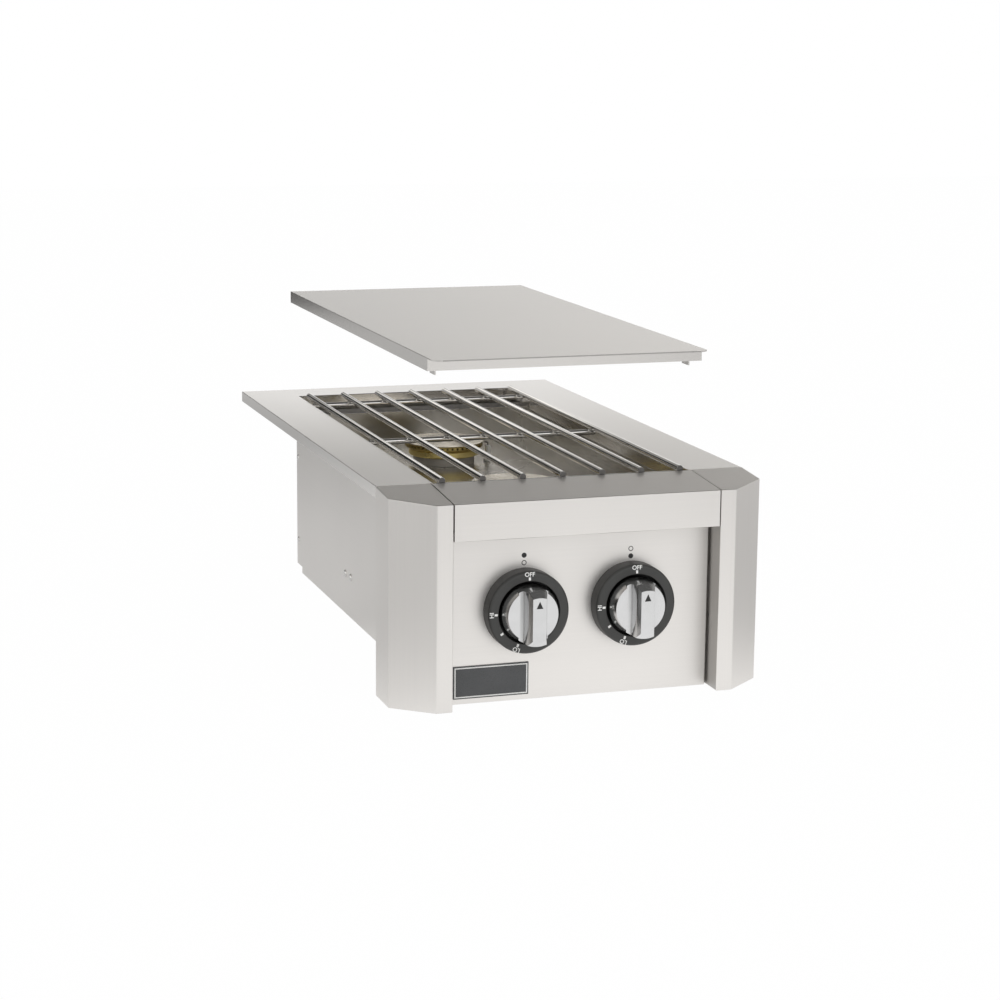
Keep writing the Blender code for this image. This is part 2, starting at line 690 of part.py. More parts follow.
def make_port_ring(title, depth):
    """Ring that tapers inwards to its foot, drilled with a row of flame ports."""
    centre = place(0, depth, RING_DROP)
    profile = [(RING_TOP_RADIUS, 0), (RING_TOP_RADIUS, RING_TAPER - RING_HEIGHT),
               (RING_FOOT_RADIUS, -RING_HEIGHT), (RING_BORE, -RING_HEIGHT), (RING_BORE, 0)]
    ring = turned(title + "_port_ring", profile, centre, BRASS, closed=True)
    bm = bmesh.new()
    for index in range(PORT_COUNT):
        angle = math.tau * (index + 0.5) / PORT_COUNT
        out = Vector((math.cos(angle), math.sin(angle), 0))
        height = Vector((0, 0, -PORT_DROP))
        add_cylinder(bm, out * (RING_BORE - SHEET) + height, out * (RING_TOP_RADIUS + SHEET) + height,
                     PORT_RADIUS, 6)
    ports = mesh_object(title + "_ports", bm)
    ports.location = centre
    return cut(ring, ports)


def make_burner_base(title, depth):
    """Base with a round rim, a pedestal on the tray and a throat that goes down through it."""
    rim_foot = -BASE_HEIGHT
    seat = -(TRAY_DROP - BASE_DROP - GAP)
    throat_foot = seat - THROAT_LENGTH
    profile = [(BASE_RADIUS, 0), (BASE_RADIUS, rim_foot + BASE_EDGE), (BASE_RADIUS - BASE_EDGE, rim_foot),
               (PEDESTAL_RADIUS, rim_foot), (PEDESTAL_RADIUS, seat), (THROAT_RADIUS, seat),
               (THROAT_END_RADIUS, seat - 4 * SHEET), (THROAT_END_RADIUS, throat_foot),
               (THROAT_BORE, throat_foot), (THROAT_BORE, seat), (RING_BORE, 0)]
    return turned(title + "_burner_base", profile, place(0, depth, BASE_DROP), BRASS, steps=24,
                  closed=True)


def venturi_route(valve_x, depth):
    """Straight run from the air shutter, then a sweep sideways and up under the burner."""
    foot = TRAY_DROP - GAP + THROAT_LENGTH + GAP
    straight = place(valve_x, VENTURI_START, KNOB_DROP)
    bend = place(valve_x, depth - VENTURI_BEND, KNOB_DROP)
    top = place(0, depth, foot + GAP)
    below = place(0, depth, foot + VENTURI_RISE)
    sweep = geometry.interpolate_bezier(bend, place(valve_x, depth + VENTURI_BEND * 0.1, KNOB_DROP),
                                        place(0, depth, KNOB_DROP + VENTURI_RISE / 2), below, 10)
    return [straight] + sweep + [top]


def make_venturi(title, valve_x, depth):
    """Mixing tube, its air shutter and the bracket that holds it up."""
    tube(title + "_venturi", venturi_route(valve_x, depth), VENTURI_RADIUS, BRUSHED)
    make_air_shutter(title, valve_x)
    rest = place(valve_x, 0, 0).x
    support = (VENTURI_START + depth - VENTURI_BEND) / 2
    top = KNOB_DROP + VENTURI_RADIUS + GAP
    path = [place(rest - SUPPORT_WIDTH / 2, support + SUPPORT_FOOT, HEIGHT - SHEET - GAP),
            place(rest - SUPPORT_WIDTH / 2, support, HEIGHT - SHEET - GAP),
            place(rest - SUPPORT_WIDTH / 2, support, top),
            place(rest - SUPPORT_WIDTH / 2, support + SUPPORT_FOOT, top)]
    bent_sheet(title + "_venturi_support", path, (SUPPORT_WIDTH, 0, 0), (0, 0, -1), BRUSHED)


def make_air_shutter(title, valve_x):
    """Sleeve round the mixing tube's mouth, with an end wall and two air windows."""
    inner = VENTURI_RADIUS + GAP
    outer = inner + SHUTTER_WALL
    start = VENTURI_START - SHUTTER_OVERLAP
    profile = [(outer, 0), (outer, -SHUTTER_LENGTH), (inner, -SHUTTER_LENGTH), (inner, -SHEET),
               (SHUTTER_MOUTH, -SHEET), (SHUTTER_MOUTH, 0)]
    centre = place(valve_x, start, KNOB_DROP)
    shutter = turned(title + "_air_shutter", profile, centre, BRUSHED, steps=20, facing=(0, -1, 0),
                     closed=True)
    bm = bmesh.new()
    window = SHUTTER_OVERLAP - 3 * SHEET
    low = place(valve_x - outer - SHEET, start + 2 * SHEET, KNOB_DROP + inner / 2)
    high = place(valve_x + outer + SHEET, start + 2 * SHEET + window, KNOB_DROP - inner / 2)
    add_box(bm, low, high)
    return cut(shutter, mesh_object(title + "_air_windows", bm))


def make_valve(title, valve_x):
    """Valve body with a round bonnet that is bored for the plunger and stem."""
    half = VALVE_WIDTH / 2
    low = place(valve_x - half, VALVE_BODY_FRONT, KNOB_DROP + VALVE_HEIGHT / 2)
    high = place(valve_x + half, VALVE_BACK, KNOB_DROP - VALVE_HEIGHT / 2)
    body = box(title + "_valve", low, high, CASTING)
    soften(body, VALVE_EDGE)
    bonnet = cylinder(title + "_bonnet", place(valve_x, VALVE_FRONT, KNOB_DROP),
                      place(valve_x, VALVE_BODY_FRONT + BONNET_ROOT, KNOB_DROP), BONNET_RADIUS, steps=28)
    join(body, bonnet)
    bore = cylinder(title + "_bonnet_bore", place(valve_x, VALVE_FRONT - SHEET, KNOB_DROP),
                    place(valve_x, VALVE_FRONT + BONNET_BORE_DEPTH, KNOB_DROP), BONNET_BORE, steps=20)
    cut(body, bore)
    orifice = [(0, 0), (ORIFICE_TIP_RADIUS, 0), (ORIFICE_TIP_RADIUS * 1.3, -ORIFICE_TAPER),
               (ORIFICE_RADIUS, -ORIFICE_LENGTH * 0.45), (ORIFICE_RADIUS, -ORIFICE_LENGTH),
               (0, -ORIFICE_LENGTH)]
    tip = place(valve_x, VALVE_BACK + GAP + ORIFICE_LENGTH, KNOB_DROP)
    turned(title + "_orifice", orifice, tip, BRASS, steps=12, facing=(0, 1, 0))


def make_valve_clamp(title, valve_x):
    """Strap that holds the manifold pipe up against the valve."""
    radius = MANIFOLD_RADIUS + GAP + SHEET / 2
    ear = MANIFOLD_DROP - MANIFOLD_RADIUS + SHEET / 2
    outer = MANIFOLD_DEPTH + radius
    inner = MANIFOLD_DEPTH - radius
    start = valve_x - CLAMP_WIDTH / 2
    path = [place(start, inner - CLAMP_EAR, ear), place(start, inner, ear)]
    path += [place(start, depth, drop)
             for depth, drop in arc((MANIFOLD_DEPTH, MANIFOLD_DROP), radius, 180, 0, 10)]
    path += [place(start, outer, ear), place(start, outer + CLAMP_EAR, ear)]
    return bent_sheet(title + "_valve_clamp", path, (CLAMP_WIDTH, 0, 0), (0, 0, 1), BRUSHED, offset=0.0)


def make_manifold():
    """Manifold pipe with a bend, the inlet pipe behind it and the fitting at the back."""
    bend = MANIFOLD_BEND
    left = place(-INLET_X, MANIFOLD_DEPTH, MANIFOLD_DROP)
    corner = arc((INLET_X - bend, MANIFOLD_DEPTH + bend), bend, -90, 0, 6)
    route = [left] + [place(x, depth, MANIFOLD_DROP) for x, depth in corner]
    end = MANIFOLD_DEPTH + bend + MANIFOLD_TAIL
    tube("manifold_pipe", route + [place(INLET_X, end, MANIFOLD_DROP)], MANIFOLD_RADIUS, BRUSHED)
    back = BOX_BACK + INLET_TAIL
    cylinder("inlet_pipe", place(INLET_X, end + GAP, MANIFOLD_DROP), place(INLET_X, back, MANIFOLD_DROP),
             INLET_RADIUS, BRUSHED)
    fitting = [(0, FLARE_FLOOR - FITTING_LENGTH), (FLARE_BORE, FLARE_FLOOR - FITTING_LENGTH), (FLARE_BORE, 0),
               (FLARE_RADIUS, 0), (FLARE_RADIUS, -FLARE_LENGTH), (FITTING_RADIUS, -FLARE_LENGTH),
               (FITTING_RADIUS, -FITTING_LENGTH), (0, -FITTING_LENGTH)]
    turned("inlet_fitting", fitting, place(INLET_X, back + GAP + FITTING_LENGTH, MANIFOLD_DROP), BRASS,
           steps=18, facing=(0, 1, 0))


def make_igniter(title, valve_x, depth, lane):
    """Electrode beside the burner and its lead to the valve."""
    x = ELECTRODE_REACH
    across = depth - ELECTRODE_FORWARD
    tip = BURNER_CAP_DROP + ELECTRODE_TIP_FALL
    seat = TRAY_DROP - GAP - tip
    ceramic = CERAMIC_FALL - ELECTRODE_TIP_FALL
    foot = TRAY_DROP + ELECTRODE_TAIL - tip
    profile = [(0, 0), (TIP_RADIUS, -TIP_RADIUS), (TIP_RADIUS, -ceramic),
               (CERAMIC_RADIUS - CERAMIC_EDGE, -ceramic), (CERAMIC_RADIUS, -ceramic - CERAMIC_EDGE),
               (CERAMIC_RADIUS, COLLAR_HEIGHT - seat),
               (COLLAR_RADIUS, COLLAR_HEIGHT - seat), (COLLAR_RADIUS, -seat), (CERAMIC_RADIUS, -seat),
               (CERAMIC_RADIUS, -foot), (0, -foot)]
    turned(title + "_electrode", profile, place(x, across, tip), CERAMIC, steps=10)
    make_lead(title, valve_x, across, lane)


def make_lead(title, valve_x, across, lane):
    """Sleeved lead from the electrode's foot, along its own lane, to the valve's side."""
    start = TRAY_DROP + ELECTRODE_TAIL + GAP
    level = start + LEAD_FALL
    near = place(lane, across - LEAD_SWEEP, level)
    first = geometry.interpolate_bezier(place(ELECTRODE_REACH, across, start + LEAD_STUB),
                                        place(ELECTRODE_REACH, across, level),
                                        place(lane, across - LEAD_TURN, level), near, 6)
    port_x = valve_x + VALVE_WIDTH / 2 + GAP
    port_drop = KNOB_DROP - VALVE_HEIGHT / 4
    last = geometry.interpolate_bezier(place(lane, LEAD_START, level),
                                       place(lane, MANIFOLD_DEPTH, level),
                                       place(port_x + LEAD_TURN, MANIFOLD_DEPTH, port_drop),
                                       place(port_x + LEAD_STUB, MANIFOLD_DEPTH, port_drop), 8)
    first.insert(0, place(ELECTRODE_REACH, across, start))
    last.append(place(port_x, MANIFOLD_DEPTH, port_drop))
    return tube(title + "_igniter_lead", first + last, LEAD_RADIUS, RUBBER)


def make_bezel(title, valve_x):
    """Raised dish on the panel round a knob, open in the middle for the stem."""
    foot = -(BEZEL_DEPTH - GAP)
    floor = foot + BEZEL_FLOOR
    profile = arc((BEZEL_RADIUS - BEZEL_EDGE, -BEZEL_EDGE), BEZEL_EDGE, 90, 0, 2)
    profile += [(BEZEL_RADIUS, foot), (VALVE_HOLE_RADIUS, foot), (VALVE_HOLE_RADIUS, floor),
                (BEZEL_BORE, floor), (BEZEL_BORE, -BEZEL_LEAD_IN), (BEZEL_BORE + BEZEL_LEAD_IN, 0)]
    centre = place(valve_x, PANEL_RECESS - BEZEL_DEPTH, KNOB_DROP)
    return turned(title + "_bezel", profile, centre, DARK_PLASTIC, steps=36, facing=(0, -1, 0), closed=True)


def make_knob(title, valve_x):
    """Knob: a hollow skirt that narrows to two half-moon faces, and a grip bar across them."""
    profile = [(0, DISC_DEPTH), (DISC_RADIUS, DISC_DEPTH), (SKIRT_RADIUS, SKIRT_HEIGHT),
               (SKIRT_RADIUS, SKIRT_EDGE), (SKIRT_RADIUS - SKIRT_EDGE, 0), (0, 0)]
    back = place(valve_x, KNOB_BACK, KNOB_DROP)
    knob = turned(title + "_knob", profile, back, SATIN, steps=40, facing=(0, -1, 0))
    join(knob, make_grip(title, valve_x))
    past = SHEET
    roof = DISC_DEPTH - KNOB_WALL
    hollow = [(SKIRT_RADIUS - KNOB_WALL, past), (SKIRT_RADIUS - KNOB_WALL, -SKIRT_HEIGHT),
              (DISC_RADIUS - KNOB_WALL, -roof), (HUB_RADIUS, -roof), (HUB_RADIUS, past)]
    cut(knob, turned(title + "_knob_hollow", hollow, back, steps=32, facing=(0, 1, 0), closed=True))
    bore = cylinder(title + "_knob_bore", place(valve_x, KNOB_BACK + past, KNOB_DROP),
                    place(valve_x, KNOB_BACK - STEM_SEAT - GAP, KNOB_DROP), STEM_RADIUS + GAP, steps=14)
    return cut(knob, bore)


def make_grip(title, valve_x):
    """Grip bar with chamfered ends, to be welded to the knob's skirt."""
    shoulder = KNOB_LENGTH - GRIP_CHAMFER_DEPTH
    profile = [(0, KNOB_LENGTH), (GRIP_RADIUS - GRIP_CHAMFER, KNOB_LENGTH), (GRIP_RADIUS, shoulder),
               (GRIP_RADIUS, SKIRT_HEIGHT), (0, SKIRT_HEIGHT)]
    back = place(valve_x, KNOB_BACK, KNOB_DROP)
    grip = turned(title + "_grip", profile, back, steps=40, facing=(0, -1, 0))
    for side in (-1, 1):
        cut(grip, grip_side_cutter(title, valve_x, side))
    return grip


def grip_side_cutter(title, valve_x, side):
    """Shape cut away beside the grip bar, with a fillet where the bar meets the half-moon."""
    face = KNOB_BACK - KNOB_LENGTH
    disc = KNOB_BACK - DISC_DEPTH + RUN
    foot = KNOB_BACK - SKIRT_HEIGHT + SHEET
    past = GRIP_RADIUS + SHEET
    spread = GRIP_HALF_WIDTH + GRIP_FILLET
    slope = (GRIP_EDGE_HALF_WIDTH - GRIP_FACE_HALF_WIDTH) / GRIP_CHAMFER_DEPTH
    outline = [(GRIP_FACE_HALF_WIDTH - slope * SHEET, face - SHEET),
               (GRIP_EDGE_HALF_WIDTH, face + GRIP_CHAMFER_DEPTH)]
    outline += arc((spread, disc - GRIP_FILLET), GRIP_FILLET, 180, 90, 4)
    outline += [(spread, foot), (past, foot), (past, face - SHEET)]
    points = [(side * x, FACE + depth) for x, depth in outline]
    name = "%s_grip_side_%s" % (title, "left" if side < 0 else "right")
    centre = (place(valve_x, 0, 0).x, 0, HEIGHT - KNOB_DROP)
    return flat_plate(name, points, 2 * past, location=centre)


def make_stem(title, valve_x):
    """Valve stem and the sprung plunger ring that it pushes."""
    start = KNOB_BACK - STEM_SEAT
    plunger_front = VALVE_FRONT + PLUNGER_INSET
    end = plunger_front + PLUNGER_LENGTH + GAP
    cylinder(title + "_stem", place(valve_x, start, KNOB_DROP), place(valve_x, end, KNOB_DROP),
             STEM_RADIUS, CASTING, steps=14)
    outer = BONNET_BORE - GAP
    inner = STEM_RADIUS + RUN
    profile = [(outer, 0), (outer, -PLUNGER_LENGTH), (inner, -PLUNGER_LENGTH), (inner, 0)]
    turned(title + "_plunger", profile, place(valve_x, plunger_front, KNOB_DROP), BRASS, steps=20,
           facing=(0, -1, 0), closed=True)


def make_cover():
    """Cover: top sheet with a finger lip, and a flange on all four sides."""
    lift = -(COVER_LIFT + GAP)
    half = COVER_HALF
    top = lift - COVER_FLANGE
    corner = COVER_LIP_RADIUS
    front = COVER_FRONT - COVER_LIP
    outline = [(half, FACE + COVER_BACK), (-half, FACE + COVER_BACK)]
    outline += arc((-half + corner, FACE + front + corner), corner, 180, 270, 5)
    outline += arc((half - corner, FACE + front + corner), corner, 270, 360, 5)
    middle = HEIGHT - top - SHEET / 2
    sheet = flat_plate("cover", outline, SHEET, BRUSHED, location=(0, 0, middle))
    bm = bmesh.new()
    add_box(bm, place(-half, COVER_FRONT, lift), place(half, COVER_BACK, top + SHEET / 2))
    walls = mesh_object("cover_flanges", bm)
    hollow = box("cover_hollow", place(-half + SHEET, COVER_FRONT + SHEET, lift + COVER_FLANGE),
                 place(half - SHEET, COVER_BACK - SHEET, top + SHEET))
    join(sheet, walls)
    return cut(sheet, hollow)


def make_cover_tabs():
    """Angle tabs under the cover that drop just inside the well's four corners."""
    under = -(COVER_LIFT + GAP) - COVER_FLANGE + SHEET + GAP
    foot = -(COVER_LIFT + GAP) + TAB_DROP
    plane = HALF_WELL - TAB_SIDE_SPACE
    ends = {"front": WELL_FRONT + TAB_END_SPACE, "rear": WELL_BACK - TAB_END_SPACE - TAB_LENGTH}
    for side, side_name in ((-1, "left"), (1, "right")):
        for end_name, start in ends.items():
            path = [place(side * (plane - TAB_LEG), start, under), place(side * plane, start, under),
                    place(side * plane, start, foot)]
            bent_sheet("cover_tab_%s_%s" % (end_name, side_name), path, (0, TAB_LENGTH, 0),
                       (0, 0, 1), BRUSHED)


def build():
    """Make every piece."""
    make_top_frame()
    make_end_cap("left_end_cap", -1)
    make_end_cap("right_end_cap", 1)
    make_fascia()
    make_control_panel()
    make_box_side("left_side_panel", -1)
    make_box_side("right_side_panel", 1)
    make_rear_panel()
    make_bottom_pan()
    make_burner_tray()
    make_grate()
    make_grate_rests()
    make_manifold()
    for title, burner in BURNERS.items():
        valve_x = burner["valve_x"]
        make_burner(title, burner["depth"])
        make_venturi(title, valve_x, burner["depth"])
        make_valve(title, valve_x)
        make_valve_clamp(title, valve_x)
        make_igniter(title, valve_x, burner["depth"], burner["lane"])
        make_bezel(title, valve_x)
        make_knob(title, valve_x)
        make_stem(title, valve_x)
    make_cover()
    make_cover_tabs()


build()
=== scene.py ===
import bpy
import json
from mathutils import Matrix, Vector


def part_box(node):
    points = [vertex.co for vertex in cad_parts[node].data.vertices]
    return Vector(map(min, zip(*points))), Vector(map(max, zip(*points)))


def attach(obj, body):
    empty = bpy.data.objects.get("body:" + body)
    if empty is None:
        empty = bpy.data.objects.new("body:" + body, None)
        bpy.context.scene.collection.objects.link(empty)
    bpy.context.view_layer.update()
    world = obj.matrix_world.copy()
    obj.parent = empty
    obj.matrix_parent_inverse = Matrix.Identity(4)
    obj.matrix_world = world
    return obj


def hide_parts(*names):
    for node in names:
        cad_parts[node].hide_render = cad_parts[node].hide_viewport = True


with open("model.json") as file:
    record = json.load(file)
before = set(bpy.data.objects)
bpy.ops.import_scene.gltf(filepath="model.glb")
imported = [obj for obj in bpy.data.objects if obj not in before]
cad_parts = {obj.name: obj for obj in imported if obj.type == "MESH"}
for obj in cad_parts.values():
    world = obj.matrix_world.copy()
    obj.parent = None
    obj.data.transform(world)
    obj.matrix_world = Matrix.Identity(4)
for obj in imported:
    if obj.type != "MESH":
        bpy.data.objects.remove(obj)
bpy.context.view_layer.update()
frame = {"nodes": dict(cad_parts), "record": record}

import json
import math

import bmesh
import bpy
from bpy.props import FloatProperty, FloatVectorProperty, IntProperty, PointerProperty
from mathutils import Matrix, Vector, noise

bl_info = {
    "name": "Double side burner finish",
    "version": (1, 0, 0),
    "blender": (4, 5, 0),
    "location": "3D View > Sidebar > Side Burner",
    "description": "Finishes a double side burner: steel sheet, grate, burners, dials and cover",
    "category": "Object",
}

BURNERS = ("rear", "front")
SIDES = {"left": -1, "right": 1}


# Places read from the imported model

PLATE_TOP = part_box("top_frame")[1][2]
PANEL_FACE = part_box("control_panel")[0][1]
WELL_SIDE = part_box("grate_rest_front_right")[1][0]
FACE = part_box("fascia_bar")[0][1]

# Thickness of the sheet, and the play between two pieces

SHEET = 0.0012
PLAY = 0.0003


def middle(node):
    """Middle of a node's box."""
    low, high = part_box(node)
    return (Vector(low) + Vector(high)) / 2


class SheetSizes(bpy.types.PropertyGroup):
    """Sizes of the folded sheet's edges."""

    fold: FloatProperty(
        name="Fold Radius", description="Radius on the outside of a folded edge",
        default=0.0009, min=0.0, unit="LENGTH")
    wide: FloatProperty(
        name="Face Width", description="Narrowest face that is sheet and not its cut edge",
        default=0.0025, min=0.0, unit="LENGTH")


class GrateSizes(bpy.types.PropertyGroup):
    """Sizes of the grate's bars, rods and welds."""

    bar_radius: FloatProperty(
        name="Bar Radius", description="Radius of a bar that runs from front to back",
        default=0.003175, unit="LENGTH")
    rod_radius: FloatProperty(
        name="Rod Radius", description="Radius of a cross rod", default=0.003, unit="LENGTH")
    bars: IntProperty(name="Bars", description="Number of bars", default=7, min=2)
    front_inset: FloatProperty(
        name="Front Inset", description="From the well's front to the first cross rod",
        default=0.0062, unit="LENGTH")
    weld: FloatProperty(
        name="Weld Size", description="Half width of a weld bead", default=0.0024, unit="LENGTH")


class DialSizes(bpy.types.PropertyGroup):
    """Sizes of the dial marks and the knobs."""

    tick_radius: FloatProperty(
        name="Tick Circle", description="Radius of the circle that the ticks sit on",
        default=0.0318, unit="LENGTH")
    tick_length: FloatProperty(
        name="Tick Length", description="Length of a tick", default=0.0030, unit="LENGTH")
    tick_width: FloatProperty(
        name="Tick Width", description="Width of a tick", default=0.0020, unit="LENGTH")
    print_depth: FloatProperty(
        name="Print Depth", description="Thickness of printed marks",
        default=0.00006, unit="LENGTH")
    word_size: FloatProperty(
        name="Word Size", description="Height of the dial words' line",
        default=0.0056, unit="LENGTH")
    word_radius: FloatProperty(
        name="Word Circle", description="Radius of the circle that the words' feet sit on",
        default=0.0341, unit="LENGTH")


class FinishColours(bpy.types.PropertyGroup):
    """Colours of the finishes."""

    steel: FloatVectorProperty(
        name="Steel", description="Brushed stainless sheet", subtype="COLOR",
        default=(0.85, 0.825, 0.795), min=0.0, max=1.0)
    well_steel: FloatVectorProperty(
        name="Well Steel", description="Sheet inside the well", subtype="COLOR",
        default=(0.66, 0.64, 0.60), min=0.0, max=1.0)
    bar_steel: FloatVectorProperty(
        name="Bar Steel", description="Polished grate bars", subtype="COLOR",
        default=(0.86, 0.84, 0.81), min=0.0, max=1.0)
    brass: FloatVectorProperty(
        name="Brass", description="Burner bases", subtype="COLOR",
        default=(0.92, 0.76, 0.32), min=0.0, max=1.0)
    bezel: FloatVectorProperty(
        name="Bezel", description="Bezel rings", subtype="COLOR",
        default=(0.042, 0.042, 0.040), min=0.0, max=1.0)
    knob: FloatVectorProperty(
        name="Knob", description="Satin knobs", subtype="COLOR",
        default=(0.69, 0.69, 0.69), min=0.0, max=1.0)
    badge: FloatVectorProperty(
        name="Badge Plate", description="Bare plate on the panel", subtype="COLOR",
        default=(0.075, 0.077, 0.080), min=0.0, max=1.0)


class StageSizes(bpy.types.PropertyGroup):
    """Camera, lamps and background."""

    lens: FloatProperty(
        name="Lens", description="Focal length", default=0.08847, unit="CAMERA")
    camera_place: FloatVectorProperty(
        name="Camera Place", description="Where the camera stands", subtype="TRANSLATION",
        default=(-0.75971, -2.35780, 0.63081))
    yaw: FloatProperty(
        name="Yaw", description="Turn away from straight back", subtype="ANGLE",
        default=math.radians(-18.23))
    pitch: FloatProperty(
        name="Pitch", description="Tilt above the horizon", subtype="ANGLE",
        default=math.radians(-11.46))
    roll: FloatProperty(
        name="Roll", description="Turn about the view", subtype="ANGLE", default=math.radians(0.56))
    lamp: FloatProperty(
        name="Key Lamp", description="Power of the large lamp above the front", default=10.0,
        unit="POWER")
    daylight: FloatProperty(
        name="Daylight", description="Level of the even light all round", default=0.85, min=0.0)


# Shader tools

class Number:
    """A shader value that Python arithmetic builds on."""

    def __init__(self, finish, socket):
        self.finish = finish
        self.socket = socket

    def maths(self, operation, first, second):
        """One Math node."""
        return self.finish.node("ShaderNodeMath", {"operation": operation}, {0: first, 1: second})

    def __add__(self, other):
        return self.maths("ADD", self, other)

    def __mul__(self, other):
        return self.maths("MULTIPLY", self, other)

    def __sub__(self, other):
        return self.maths("SUBTRACT", self, other)

    def __rsub__(self, other):
        return self.maths("SUBTRACT", other, self)

    def __pow__(self, other):
        return self.maths("POWER", self, other)


class Finish:
    """A material being made: its nodes, and the shader's own values."""

    def __init__(self, name, **values):
        self.material = bpy.data.materials.new(name)
        self.material.use_nodes = True
        self.tree = self.material.node_tree
        self.shader = self.tree.nodes["Principled BSDF"]
        self.set(**values)

    def set(self, **values):
        """Shader sockets by their names, with spaces written as underscores."""
        for name, value in values.items():
            socket = name.replace("_", " ").title().replace("Ior", "IOR")
            self.feed(self.shader.inputs[socket], value)

    def feed(self, socket, value):
        """Link a Number, or write a plain value, into a socket."""
        if isinstance(value, Number):
            self.tree.links.new(value.socket, socket)
        elif hasattr(value, "__len__") and len(value) < len(socket.default_value):
            socket.default_value = (*value, 1.0)
        else:
            socket.default_value = value

    def node(self, kind, settings=None, inputs=None, output=0):
        """Any node, with its settings made first and then its sockets."""
        made = self.tree.nodes.new(kind)
        for name, value in (settings or {}).items():
            setattr(made, name, value)
        for name, value in (inputs or {}).items():
            self.feed(made.inputs[name], value)
        return Number(self, made.outputs[output])

    def place(self, scale=(1.0, 1.0, 1.0), location=(0.0, 0.0, 0.0)):
        """Object coordinates, scaled and moved."""
        here = self.node("ShaderNodeTexCoord", output="Object")
        return self.node("ShaderNodeMapping", inputs={
            "Vector": here, "Scale": scale, "Location": location})

    def axis(self, name):
        """One of the object coordinates."""
        return self.node("ShaderNodeSeparateXYZ", inputs={0: self.place()}, output=name)

    def noise(self, vector, scale, detail=2.0, rough=0.5, distortion=0.0):
        """Noise between 0 and 1."""
        return self.node("ShaderNodeTexNoise", inputs={
            "Vector": vector, "Scale": scale, "Detail": detail, "Roughness": rough,
            "Distortion": distortion})

    def mix(self, factor, first, second):
        """Mix of two colours."""
        return self.node("ShaderNodeMix", {"data_type": "RGBA"},
                         {0: factor, 6: first, 7: second}, output=2)

    def fit(self, value, low, high, start=0.0, end=1.0):
        """A value's range fitted to another, and held inside it."""
        return self.node("ShaderNodeMapRange", inputs={
            "Value": value, "From Min": low, "From Max": high, "To Min": start, "To Max": end})

    def bump(self, height, distance, strength):
        """Fine relief from a height."""
        relief = self.node("ShaderNodeBump", inputs={
            "Height": height, "Distance": distance, "Strength": strength})
        self.set(normal=relief)


def scaled(colour, level):
    """A colour made lighter or darker."""
    return tuple(min(1.0, channel * level) for channel in colour)


def brushed(name, colour, grain, roughness, contrast=0.03, smudge=0.03, relief=0.2):
    """Brushed stainless: fine streaks along one axis over broad, faint clouds."""
    metal = Finish(name, metallic=1.0)

    def lines(along, across, detail):
        scale = [along if axis == grain else across for axis in "xyz"]
        return metal.noise(metal.place(scale), 1.0, detail)

    streaks = lines(9.0, 2200.0, 3.0)
    tone = streaks * 0.45 + lines(4.0, 500.0, 2.0) * 0.55
    light = metal.fit(tone, 0.3, 0.7, 1.0 - contrast, 1.0)
    cloud = metal.fit(metal.noise(metal.place(), 7.0, 2.0), 0.3, 0.7, 1.0 - smudge, 1.0)
    rough = metal.fit(tone, 0.3, 0.7, roughness - 0.1 * relief, roughness + 0.2 * relief)
    metal.set(base_color=metal.mix(light * cloud, (0.0, 0.0, 0.0), colour), roughness=rough)
    metal.bump(streaks, 0.000012, relief)
    return metal.material


def grained(name, grain, clouds, shades, roughness, relief, metallic=1.0, low=0.3):
    """Fine grain in the shine and the relief, over faint clouds between two shades."""
    skin = Finish(name, metallic=metallic)
    fine = skin.noise(skin.place(grain[0]), *grain[1:])
    cloud = skin.fit(skin.noise(skin.place(), clouds, 2.0), low, 0.7)
    skin.set(base_color=skin.mix(cloud, *shades),
             roughness=skin.fit(fine, 0.3, 0.7, *roughness))
    skin.bump(fine, *relief)
    return skin.material


def polished(name, colour):
    """Drawn and polished bar: nearly a mirror, with faint draw lines along it."""
    return grained(name, ((900.0, 12.0, 900.0), 1.0, 2.0), 40.0, (scaled(colour, 0.93), colour),
                   (0.03, 0.08), (0.00002, 0.05), low=0.35)


def well_sheet(name, colour):
    """Sheet in the well: stainless with a warm, uneven heat tint and faint smudges."""
    metal = Finish(name, metallic=1.0)
    clouds = metal.noise(metal.place(), 11.0, 4.0, 0.55, 0.4)
    spots = metal.noise(metal.place((1.0, 1.0, 1.0), (3.1, 1.7, 0.4)), 38.0, 3.0)
    grain = metal.noise(metal.place((900.0, 6.0, 900.0)), 1.0, 2.0)
    warm = metal.mix(metal.fit(clouds, 0.35, 0.65), scaled(colour, 0.86), colour)
    tinted = metal.mix(metal.fit(spots, 0.55, 0.8, 0.0, 0.35), warm, (0.42, 0.36, 0.27))
    metal.set(base_color=tinted, roughness=metal.fit(clouds, 0.3, 0.7, 0.20, 0.30))
    metal.bump(grain, 0.00002, 0.3)
    return metal.material


def cast_brass(name, colour, roughness, heat):
    """Machined brass: a fine skin, and slight heat browning in patches."""
    metal = Finish(name, metallic=1.0)
    clouds = metal.noise(metal.place(), 45.0, 3.0, 0.6)
    fine = metal.noise(metal.place(), 1800.0, 2.0)
    base = metal.mix(metal.fit(clouds, 0.4, 0.7, 0.0, heat), colour, (0.30, 0.17, 0.06))
    metal.set(base_color=base, roughness=metal.fit(clouds, 0.3, 0.7, roughness, roughness + 0.16))
    metal.bump(fine, 0.00003, 0.25)
    return metal.material


def cast_metal(name, colour, roughness=0.42, metallic=1.0):
    """Die-cast body with a fine grained skin."""
    return grained(name, ((1.0, 1.0, 1.0), 1400.0, 3.0), 60.0, (scaled(colour, 0.85), colour),
                   (roughness - 0.06, roughness + 0.08), (0.0001, 0.3), metallic)


